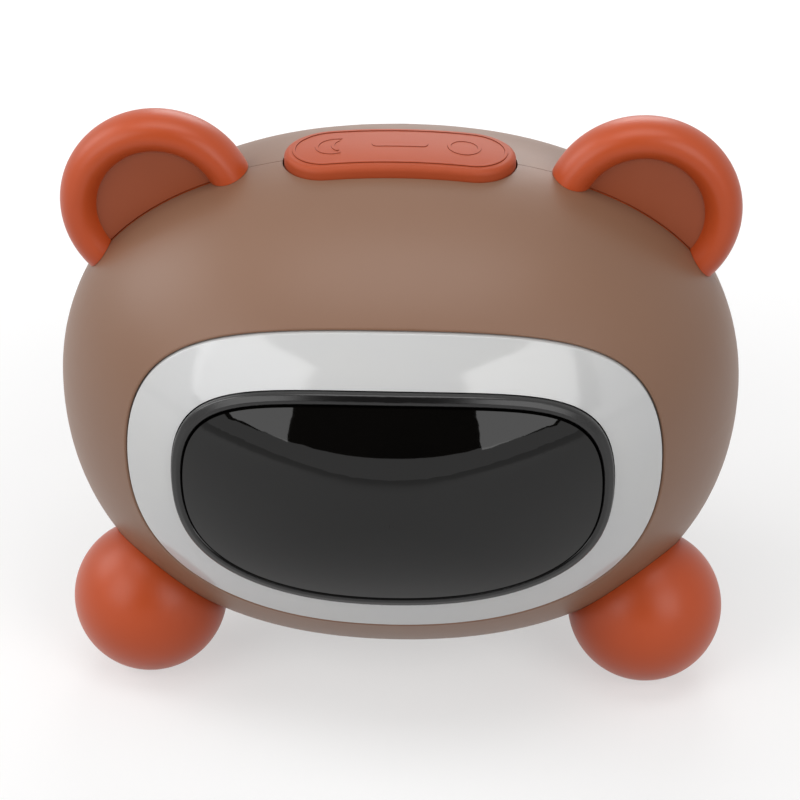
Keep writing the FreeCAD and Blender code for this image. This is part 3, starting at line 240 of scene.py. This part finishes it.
# %% Finishes of the inner pieces
INNER_FINISHES = (
    ("moulded_white_abs", ("#e2e0da", "#dcdad3"), 20.0, (0.4, 0.005), {"Roughness": 0.45},
     ("light_frame", "battery_tray", "button_bracket")),
    ("solder_masked_glass_epoxy", ("#1f5236", "#2a6544"), 6.0, (0.8, 0.01),
     {"Roughness": 0.35, "Coat Weight": 0.3}, ("light_board", "main_board", "port_board")),
    ("phosphor_filled_silicone_lamp", ("#e6dfae", "#efe9c4"), 2.0, (0.3, 0.004), {"Roughness": 0.3},
     ("light_lamps",)),
    ("moulded_black_epoxy", ("#202020", "#292828"), 4.0, (0.2, 0.006), {"Roughness": 0.6},
     ("board_chips", "key_switches", "snooze_switch")),
    ("zinc_plated_steel", ("#a7a9ac", "#b9babb"), 3.0, (0.3, 0.003), {"Metallic": 1.0, "Roughness": 0.32},
     ("light_screws", "foot_screws", "foot_washers", "board_screws", "bracket_screws", "shell_screws",
      "charging_port")),
    ("pressed_paper_cone_and_basket", ("#262525", "#302f2e"), 5.0, (0.5, 0.02), {"Roughness": 0.75},
     ("speaker",)),
    ("closed_cell_foam", ("#343333", "#3f3d3c"), 3.0, (0.9, 0.08), {"Roughness": 0.95},
     ("speaker_gasket",)),
    ("shrink_wrapped_cell", ("#35557f", "#40608a"), 15.0, (1.2, 0.01), {"Roughness": 0.3},
     ("battery_pack",)),
)
for name, colours, drift_mm, grain_mm, settings, dressed in INNER_FINISHES:
    dress(finish(name, colours, drift_mm, grain_mm, settings), *dressed)

# %% [markdown]
# The keys and the press bar carry raised drawings.  They are taken to be flat-topped strokes, some tenths
# of a millimetre high.  Each drawing starts flat on the floor: a torus is a ring or an arc, a sphere is a
# dot or, pulled apart, a pill, and a torus pulled apart is the outline of a bar.

# %% Strokes of a drawing
FRESH = []
BALL_STEPS = 20
RING_STEPS = 56
RING_SIDES = 12


def fresh():
    """Note the primitive that was just added as a stroke of the drawing."""
    FRESH.append(bpy.context.object)
    return bpy.context.object


def pick(piece, rule):
    """Enter edit mode with only the points selected that meet a rule on their place."""
    bpy.ops.object.mode_set(mode="EDIT")
    bpy.ops.mesh.select_mode(type="VERT")
    bpy.ops.mesh.select_all(action="DESELECT")
    bpy.ops.object.mode_set(mode="OBJECT")
    for point in piece.data.vertices:
        point.select = rule(point.co)
    bpy.ops.object.mode_set(mode="EDIT")


def pull_apart(piece, length):
    """Move the right half right and the left half left, and divide the long edges between them."""
    for side in (-1, 1):
        pick(piece, lambda place: place.x * side > 0)
        bpy.ops.transform.translate(value=(side * length / 2, 0, 0), orient_type="LOCAL")
        bpy.ops.object.mode_set(mode="OBJECT")
    cuts = int(length / MM) + 1
    bpy.ops.object.mode_set(mode="EDIT")
    bpy.ops.mesh.select_all(action="DESELECT")
    bpy.ops.mesh.select_mode(type="EDGE")
    bpy.ops.object.mode_set(mode="OBJECT")
    points = piece.data.vertices
    for edge in piece.data.edges:
        start, end = (points[index].co for index in edge.vertices)
        edge.select = start.x * end.x < 0
    bpy.ops.object.mode_set(mode="EDIT")
    bpy.ops.mesh.subdivide(number_cuts=cuts)
    bpy.ops.object.mode_set(mode="OBJECT")


def turned_half_step(piece, steps):
    """Turn a round primitive so that no point lies on its middle line."""
    piece.rotation_euler.z = math.pi / steps
    bpy.ops.object.transform_apply(location=False, rotation=True, scale=False)


def dot(across, up, width):
    """A round dot."""
    deselect()
    bpy.ops.mesh.primitive_uv_sphere_add(segments=BALL_STEPS, ring_count=BALL_STEPS // 2,
                                         radius=width / 2 * MM, location=(across * MM, up * MM, 0))
    fresh()


def pill(across, up, length, width, angle=0.0):
    """A straight stroke with round ends, about its middle; length counts the ends."""
    deselect()
    bpy.ops.mesh.primitive_uv_sphere_add(segments=BALL_STEPS, ring_count=BALL_STEPS // 2,
                                         radius=width / 2 * MM)
    stroke = fresh()
    turned_half_step(stroke, BALL_STEPS)
    pull_apart(stroke, (length - width) * MM)
    stroke.location = (across * MM, up * MM, 0)
    stroke.rotation_euler.z = math.radians(angle)


def stroke_between(start, end, width):
    """A pill whose round ends are centred on two points."""
    (x0, y0), (x1, y1) = start, end
    length = math.hypot(x1 - x0, y1 - y0) + width
    pill((x0 + x1) / 2, (y0 + y1) / 2, length, width, math.degrees(math.atan2(y1 - y0, x1 - x0)))


def ring(across, up, radius, width, steps=RING_STEPS):
    """A round line."""
    deselect()
    bpy.ops.mesh.primitive_torus_add(location=(across * MM, up * MM, 0), major_radius=radius * MM,
                                     minor_radius=width / 2 * MM, major_segments=steps,
                                     minor_segments=RING_SIDES)
    return fresh()


def long_ring(across, up, straight, radius, width, steps=RING_STEPS):
    """The outline of a bar: a round line whose halves are pulled apart by a straight length."""
    line = ring(0, 0, radius, width, steps)
    turned_half_step(line, steps)
    pull_apart(line, straight * MM)
    line.location = (across * MM, up * MM, 0)


def arc(across, up, radius, width, start, end):
    """Part of a round line, from start to end in degrees, with a dot at each end."""
    curve = ring(across, up, radius, width)

    def outside(place):
        turn = math.degrees(math.atan2(place.y, place.x))
        return (turn - start) % 360 > (end - start) + 3
    pick(curve, outside)
    bpy.ops.mesh.delete(type="VERT")
    bpy.ops.object.mode_set(mode="OBJECT")
    for turn in (start, end):
        dot(across + radius * math.cos(math.radians(turn)), up + radius * math.sin(math.radians(turn)), width)


CAPITAL_SHARE = 0.7
NUMERAL_DEPTH = 0.4
NUMERAL_BOLDNESS = 0.2


def numeral(text, height):
    """A plain numeral, centred."""
    deselect()
    bpy.ops.object.text_add()
    stroke = fresh()
    stroke.data.body = text
    stroke.data.align_x = "CENTER"
    stroke.data.align_y = "CENTER"
    stroke.data.size = height / CAPITAL_SHARE * MM
    stroke.data.extrude = NUMERAL_DEPTH * MM
    stroke.data.offset = NUMERAL_BOLDNESS * MM
    bpy.ops.object.convert(target="MESH")


# %% [markdown]
# The strokes are joined, stood up, and laid on the curved part, where every point keeps its height.  A
# height that is too large is held at the top of the stroke, and that makes the flat top and the steep
# flank.  Faces that lean away from the surface below them are flanks.

# %% Laying a drawing on a curved face
REAR_FACE = Vector((0, 1, 0))
TOP_FACE = Vector((0, 0, 1))
SUNK = 0.12
STROKE_TOP = 0.42
RAY_START = 0.3
FLANK_LEAN = 0.8
CREASE = math.radians(35)


def surface_of(node):
    """A search tree over the faces of a CAD node, to lay a drawing on it."""
    mesh = nodes[node].data
    places = [point.co.copy() for point in mesh.vertices]
    return BVHTree.FromPolygons(places, [list(face.vertices) for face in mesh.polygons])


def lay_on(piece, surface, facing, top):
    """Move each point along the facing direction onto the surface, and keep its height above it."""
    missed = 0
    for point in piece.data.vertices:
        height = max(-SUNK * MM, min(top * MM, point.co.dot(facing)))
        flat = point.co - facing * point.co.dot(facing)
        hit, normal, index, distance = surface.ray_cast(flat + facing * RAY_START, -facing)
        if hit is None:
            missed += 1
            continue
        point.co = hit + normal * height
    if missed:
        print(piece.name, "points beside the surface:", missed)


def finish_drawing(name, node, body, x, z, facing=REAR_FACE, top=STROKE_TOP):
    """Join the fresh strokes, stand them up at a place of the node, and lay them on it."""
    deselect()
    for stroke in FRESH:
        stroke.select_set(True)
    bpy.context.view_layer.objects.active = FRESH[0]
    bpy.ops.object.transform_apply()
    if len(FRESH) > 1:
        bpy.ops.object.join()
    piece = bpy.context.object
    FRESH.clear()
    piece.name = name
    piece.data.name = name
    if facing is REAR_FACE:
        piece.rotation_euler = (math.radians(90), 0, math.radians(180))
        piece.location = (x * MM, 0, CENTRE_HEIGHT + z * MM)
    bpy.ops.object.transform_apply()
    surface = surface_of(node)
    lay_on(piece, surface, facing, top)
    bpy.ops.object.mode_set(mode="EDIT")
    bpy.ops.mesh.select_all(action="SELECT")
    bpy.ops.mesh.normals_make_consistent(inside=False)
    bpy.ops.object.mode_set(mode="OBJECT")
    bpy.ops.object.shade_smooth_by_angle(angle=CREASE)
    piece.data.materials.clear()
    piece.data.materials.append(silicone)
    piece.data.materials.append(flank_painted_shade)
    # The steep flanks get the darker silicone: painted shade along each stroke.
    for face in piece.data.polygons:
        place, normal, index, distance = surface.find_nearest(face.center)
        face.material_index = 1 if face.normal.dot(normal) < FLANK_LEAN else 0
    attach(piece, body)
    print(name, "has", len(piece.data.polygons), "faces")


# %% [markdown]
# Each key shows what it does: a little bell clock with its number, a dial with two hands, a sun with a
# moon, plus and minus, a power sign, a note and the rays of a lamp.  All of them are common signs.
# Across and up are counted from the key's middle, as someone behind the clock sees it.

# %% Drawings of the two alarm keys
INNER_COLUMN = 15.2
OUTER_COLUMN = 34.2
UPPER_ROW = 16.0
LOWER_ROW = -6.2
LEVEL_ROW = -4.0
POWER_ROW = 5.0

for number, key, column in (("1", "alarm_one_key", OUTER_COLUMN), ("2", "alarm_two_key", INNER_COLUMN)):
    ring(0, 0, 3.4, 0.95)
    numeral(number, 4.0)
    for side in (-1, 1):
        arc(side * 3.2, 3.9, 0.9, 0.75, 45 - side * 45 - 40, 45 - side * 45 + 130)
    finish_drawing(key + "_drawing", key, key + "_body", column, UPPER_ROW)

# %% Drawing of the time key
ring(0, 0, 3.95, 0.95)
for quarter_turn in range(4):
    dot(3.0 * math.cos(quarter_turn * math.pi / 2), 3.0 * math.sin(quarter_turn * math.pi / 2), 0.8)
for hand_tip in ((0.9, 2.0), (-0.2, -1.6), (1.1, -0.5)):
    stroke_between((0, 0), hand_tip, 0.85)
finish_drawing("time_key_drawing", "time_key", "time_key_body", -INNER_COLUMN, UPPER_ROW)

# %% Drawing of the sun and moon key, without the sun's rays
SUN_ACROSS = -2.4
ring(SUN_ACROSS, 0, 1.6, 0.9)
arc(SUN_ACROSS, 0, 3.2, 0.8, 75, 285)
arc(2.0, 0, 3.9, 0.85, -125, 125)
arc(-0.6, 0.4, 3.3, 0.8, -48, 62)
dot(3.4, 1.4, 0.9)
dot(3.2, -1.6, 0.6)
finish_drawing("sun_moon_key_drawing", "sun_moon_key", "sun_moon_key_body", -OUTER_COLUMN, UPPER_ROW)

# %% [markdown]
# The power key's cap is the rearmost point of the clock, so its strokes are lower than the others.  Each
# of these signs is a few pills and rings about the middle of its key.

# %% Drawings of plus, minus, power, sound and light
LOW_TOP = 0.12

ring(0, 0, 3.7, 0.9)
pill(0, 0, 4.2, 1.1)
pill(0, 0, 4.2, 1.1, 90)
finish_drawing("plus_key_drawing", "plus_key", "plus_key_body", OUTER_COLUMN, LEVEL_ROW)

ring(0, 0, 3.7, 0.9)
pill(0, 0, 4.2, 1.1)
finish_drawing("minus_key_drawing", "minus_key", "minus_key_body", INNER_COLUMN, LEVEL_ROW)

arc(0, 0, 3.3, 1.15, 125, 415)
pill(0, 2.0, 4.4, 1.2, 90)
finish_drawing("power_key_drawing", "power_key", "power_key_body", 0.0, POWER_ROW, top=LOW_TOP)

ring(0, 0, 4.05, 0.95)
pill(-0.8, -1.9, 2.3, 1.6, 20)
stroke_between((0.0, -1.7), (0.0, 2.3), 0.7)
stroke_between((0.0, 2.3), (1.3, 1.2), 0.8)
stroke_between((1.3, 1.2), (1.1, 0.0), 0.7)
finish_drawing("sound_key_drawing", "sound_key", "sound_key_body", -INNER_COLUMN, LOWER_ROW)

LAMP_RAYS = 7
for ray in range(LAMP_RAYS):
    turn = math.radians(90 + ray * 360 / LAMP_RAYS)
    stroke_between((2.3 * math.cos(turn), 2.3 * math.sin(turn)), (3.5 * math.cos(turn), 3.5 * math.sin(turn)),
                   1.5)
dot(0, 0, 1.8)
finish_drawing("light_key_drawing", "light_key", "light_key_body", -OUTER_COLUMN, LOWER_ROW)

# %% [markdown]
# Under the keys the mould has one short raised bar each, drawn as its outline alone.  The sun's rays stand
# on the sheet, because the sheet stays still when the key goes in.

# %% Bars and rays on the sheet
BAR_RADIUS = 0.7
BAR_LINE = 0.65
BAR_ROUND_ENDS = 2.05
BAR_TOP = 0.5
UPPER_BARS = 8.8
LOWER_BARS = -14.6
for across, up, length in ((-OUTER_COLUMN, UPPER_BARS, 10.0), (-INNER_COLUMN, UPPER_BARS, 10.0),
                           (INNER_COLUMN, UPPER_BARS, 7.7), (OUTER_COLUMN, UPPER_BARS, 15.0),
                           (INNER_COLUMN, LOWER_BARS, 9.0), (OUTER_COLUMN, LOWER_BARS, 9.0)):
    long_ring(across, up, length - BAR_ROUND_ENDS, BAR_RADIUS, BAR_LINE)

SUN_RAYS = 7
RAY_INNER = 5.3
RAY_OUTER = 6.3
SUN_ON_SHEET = OUTER_COLUMN + SUN_ACROSS
for ray in range(SUN_RAYS):
    turn = math.radians(75 + ray * 25)
    stroke_between((SUN_ON_SHEET + RAY_INNER * math.cos(turn), UPPER_ROW + RAY_INNER * math.sin(turn)),
                   (SUN_ON_SHEET + RAY_OUTER * math.cos(turn), UPPER_ROW + RAY_OUTER * math.sin(turn)), 1.1)
finish_drawing("key_sheet_marks", "key_sheet", HOUSING, 0, 0, top=BAR_TOP)

# %% [markdown]
# The press bar has a fine step two millimetres inside its edge and three plain signs on its flat part.

# %% Raised line and signs of the press bar
PRESS_BAR_STRAIGHT = 29.8
EDGE_LINE_TOP = 0.2
long_ring(0, 0, PRESS_BAR_STRAIGHT, 7.6, 0.7, 72)
finish_drawing("press_bar_edge_line", "snooze_button", "snooze_button_body", 0, 0, TOP_FACE, EDGE_LINE_TOP)

arc(-14.0, 0, 3.6, 0.8, 70, 290)
arc(-11.2, 0, 3.0, 0.8, 130, 230)
pill(0, 0, 12.0, 2.6)
ring(13.6, 0, 3.2, 0.8)
finish_drawing("press_bar_signs", "snooze_button", "snooze_button_body", 0, 0, TOP_FACE, LOW_TOP)

# %% [markdown]
# The speaker's grille is a triangle of 21 tapered holes, drilled square to the shell at its middle.  Four
# of them left the CAD as closed stubs that poke out of the shell.  So the rear shell is copied, each stub
# is taken off, its traces are closed, and the four holes are drilled with one joined cutter.

# %% Rear shell without its stubs
DRILL_AXIS = Vector((0, 0.538152, 0.842848))
TAPER = 0.125
STUB_ROOTS = [Vector((side * across, depth, up + CENTRE_HEIGHT / MM)) for side in (-1, 1)
              for across, depth, up in ((5.1, 29.7887, 37.7006), (3.4, 27.0073, 39.4765))]
STUB_FOOT = 6.5
STUB_END = 12.0
PAST_END = 0.05
CLOSE = 0.03
DOUBLES = 0.001

shell_copy = nodes["rear_shell"].copy()
shell_copy.data = nodes["rear_shell"].data.copy()
shell_copy.parent = None
shell_copy.name = "rear_shell_drilled"
bpy.context.scene.collection.objects.link(shell_copy)
deselect()
shell_copy.select_set(True)
bpy.context.view_layer.objects.active = shell_copy
bpy.ops.object.mode_set(mode="EDIT")
bpy.ops.mesh.select_all(action="SELECT")
bpy.ops.mesh.remove_doubles(threshold=DOUBLES * MM)
bpy.ops.mesh.select_mode(type="FACE")
bpy.ops.mesh.select_all(action="DESELECT")
bpy.ops.object.mode_set(mode="OBJECT")


def on_stub(place):
    """Whether a point lies on the tapered side or on the end of a stub."""
    for root in STUB_ROOTS:
        reach = place / MM - root
        along = reach.dot(DRILL_AXIS)
        out = (reach - along * DRILL_AXIS).length
        on_side = abs(out - TAPER * along) < CLOSE
        on_end = abs(along - STUB_END) < CLOSE and out < TAPER * STUB_END + CLOSE
        if STUB_FOOT < along < STUB_END + PAST_END and (on_side or on_end):
            return True
    return False


near_stub = [on_stub(point.co) for point in shell_copy.data.vertices]
stub_faces = [face for face in shell_copy.data.polygons if all(near_stub[index] for index in face.vertices)]
for face in stub_faces:
    face.select = True
bpy.ops.object.mode_set(mode="EDIT")
bpy.ops.mesh.delete(type="FACE")
bpy.ops.mesh.select_all(action="SELECT")
bpy.ops.mesh.fill_holes(sides=0)
bpy.ops.object.mode_set(mode="OBJECT")
print("Faces taken off the stubs:", len(stub_faces))

# %% The four holes
DRILL_START = 6.0
DRILL_STOP = 11.5
DRILL_STEPS = 40
drill_turn = DRILL_AXIS.to_track_quat("Z", "Y").to_euler()
drills = []
for root in STUB_ROOTS:
    middle = root + DRILL_AXIS * (DRILL_START + DRILL_STOP) / 2
    bpy.ops.mesh.primitive_cone_add(vertices=DRILL_STEPS, radius1=TAPER * DRILL_START * MM,
                                    radius2=TAPER * DRILL_STOP * MM, depth=(DRILL_STOP - DRILL_START) * MM,
                                    location=middle * MM, rotation=drill_turn)
    drills.append(bpy.context.object)
deselect()
for drill in drills:
    drill.select_set(True)
bpy.context.view_layer.objects.active = drills[0]
bpy.ops.object.join()
drill = bpy.context.object
deselect()
shell_copy.select_set(True)
bpy.context.view_layer.objects.active = shell_copy
cut = shell_copy.modifiers.new("grille_holes", "BOOLEAN")
cut.operation = "DIFFERENCE"
cut.solver = "EXACT"
cut.object = drill
bpy.ops.object.modifier_apply(modifier=cut.name)
bpy.data.objects.remove(drill)
print("Holes drilled:", len(STUB_ROOTS))

# %% [markdown]
# Each corner of the copy takes the CAD node's own normal at that place, if it lies on the same face of the
# shell.  So the copy looks as smooth as the rest and keeps its crisp edges.

# %% Normals of the drilled shell
SAME_PLACE = 0.003 * MM
SAME_SURFACE = 0.6
cad_mesh = nodes["rear_shell"].data
normals_of = [[] for point in cad_mesh.vertices]
for loop, corner in zip(cad_mesh.loops, cad_mesh.corner_normals):
    normals_of[loop.vertex_index].append(corner.vector.copy())
places = KDTree(len(cad_mesh.vertices))
for index, point in enumerate(cad_mesh.vertices):
    places.insert(point.co, index)
places.balance()
known = []
for point in shell_copy.data.vertices:
    found = places.find_range(point.co, SAME_PLACE) or [places.find(point.co)]
    known.append([normal for place, index, distance in found for normal in normals_of[index]])
split_normals = []
for face in shell_copy.data.polygons:
    for index in face.vertices:
        best = max(known[index], key=face.normal.dot)
        split_normals.append(best if best.dot(face.normal) > SAME_SURFACE else face.normal.copy())
bpy.ops.object.shade_smooth()
shell_copy.data.normals_split_custom_set(split_normals)
shell_copy.data.materials.clear()
shell_copy.data.materials.append(brown)
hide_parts("rear_shell")
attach(shell_copy, HOUSING)
print("Drilled shell has", len(shell_copy.data.polygons), "faces")

# %% [markdown]
# The photograph's background is plain white.  Here floor and sky are white only where the camera, a reflection or
# glass sees them, so they add little light of their own, and the floor keeps the soft shadow.  The floor
# grows whiter with the distance from the clock, for the camera alone.

# %% Studio floor and world
FLOOR_GLOW = 0.5
AMBIENT = 0.22


def seen_directly(tree):
    """The light paths, and a socket that is 1 for rays of the camera, of a reflection or through glass."""
    paths = add(tree, "ShaderNodeLightPath")
    seen = add(tree, "ShaderNodeMath", {"operation": "MAXIMUM"},
               {0: paths.outputs["Is Camera Ray"], 1: paths.outputs["Is Glossy Ray"]})
    seen_glass = add(tree, "ShaderNodeMath", {"operation": "MAXIMUM"},
                     {0: seen.outputs[0], 1: paths.outputs["Is Transmission Ray"]})
    return paths, seen_glass.outputs[0]


floor_material = bpy.data.materials.new("pale_paper_floor")
floor_material.use_nodes = True
tree = floor_material.node_tree
tree.nodes.clear()
paths, seen = seen_directly(tree)
paper = add(tree, "ShaderNodeBsdfDiffuse", {"Color": (0.5, 0.5, 0.5, 1)})
glow = add(tree, "ShaderNodeEmission", {"Color": (1, 1, 1, 1)})
near = add(tree, "ShaderNodeMath", {"operation": "MULTIPLY", 1: FLOOR_GLOW}, {0: seen})
place = add(tree, "ShaderNodeTexCoord")
reach = add(tree, "ShaderNodeVectorMath", {"operation": "LENGTH"}, {0: place.outputs["Object"]})
far = add(tree, "ShaderNodeMapRange", {"From Min": 0.12, "From Max": 0.7, "To Max": FLOOR_GLOW},
          {"Value": reach.outputs["Value"]})
far_seen = add(tree, "ShaderNodeMath", {"operation": "MULTIPLY"},
               {0: far.outputs["Result"], 1: paths.outputs["Is Camera Ray"]})
strength = add(tree, "ShaderNodeMath", {"operation": "ADD"}, {0: near.outputs[0], 1: far_seen.outputs[0]})
tree.links.new(strength.outputs[0], glow.inputs["Strength"])
total = add(tree, "ShaderNodeAddShader", {}, {0: paper.outputs[0], 1: glow.outputs[0]})
add(tree, "ShaderNodeOutputMaterial", {}, {"Surface": total.outputs[0]})
bpy.ops.mesh.primitive_plane_add(size=6.0, location=(0, 0, 0))
floor = bpy.context.object
floor.name = "studio_floor"
floor.data.materials.append(floor_material)

world = bpy.data.worlds.new("studio_world")
bpy.context.scene.world = world
world.use_nodes = True
tree = world.node_tree
tree.nodes.clear()
paths, seen = seen_directly(tree)
level = add(tree, "ShaderNodeMapRange", {"To Min": AMBIENT, "To Max": 1.0}, {"Value": seen})
sky = add(tree, "ShaderNodeBackground", {"Color": (1, 1, 1, 1)}, {"Strength": level.outputs["Result"]})
add(tree, "ShaderNodeOutputWorld", {}, {"Surface": sky.outputs[0]})
print("Floor glows at", FLOOR_GLOW, "and the sky lights at", AMBIENT)

# %% [markdown]
# Five softboxes light the clock.  The two in front stand where the window and the ring show their
# reflections, the one above makes the band on the crown, and two light the rear and the side.  A dark
# curtain that only reflections see makes the upper part of the window black.

# %% Softboxes and curtain
SOFTBOXES = (
    ("left_softbox", -47, 27, 0.9, 0.52, 0.60, 2.7),
    ("right_softbox", 39, 27, 0.9, 0.50, 0.60, 2.8),
    ("top_softbox", 0, 80, 0.9, 0.75, 0.42, 2.6),
    ("rear_left_softbox", 176, 30, 1.0, 0.50, 0.50, 3.3),
    ("side_softbox", -99, 33, 1.0, 0.50, 0.55, 2.9),
)


def softbox(name, azimuth, elevation, distance, width, height, radiance):
    """An area lamp that faces the clock; azimuth is from straight ahead of the window, in degrees."""
    lamp = bpy.data.lights.new(name, "AREA")
    lamp.shape = "RECTANGLE"
    lamp.size = width
    lamp.size_y = height
    lamp.energy = radiance * math.pi * width * height
    item = bpy.data.objects.new(name, lamp)
    bpy.context.scene.collection.objects.link(item)
    a, e = math.radians(azimuth), math.radians(elevation)
    towards = Vector((math.sin(a) * math.cos(e), -math.cos(a) * math.cos(e), math.sin(e)))
    item.location = centre + distance * towards
    item.rotation_euler = (centre - item.location).to_track_quat("-Z", "Y").to_euler()
    print(name, "at", item.location)


for settings in SOFTBOXES:
    softbox(*settings)

bpy.ops.mesh.primitive_plane_add(size=1.0, location=(0, -1.2, 1.28), rotation=(math.radians(90), 0, 0))
curtain = bpy.context.object
curtain.name = "dark_studio_curtain"
curtain.scale = (4.6, 2.0, 1.0)
curtain.visible_camera = False
curtain.visible_diffuse = False
curtain.visible_transmission = False
curtain.visible_volume_scatter = False
curtain.visible_shadow = False
curtain_material = bpy.data.materials.new("dark_curtain")
curtain_material.use_nodes = True
shader = curtain_material.node_tree.nodes["Principled BSDF"]
shader.inputs["Base Color"].default_value = (0.01, 0.01, 0.01, 1)
shader.inputs["Specular IOR Level"].default_value = 0.0
curtain.data.materials.append(curtain_material)
print("Curtain behind the camera, seen only in reflections")
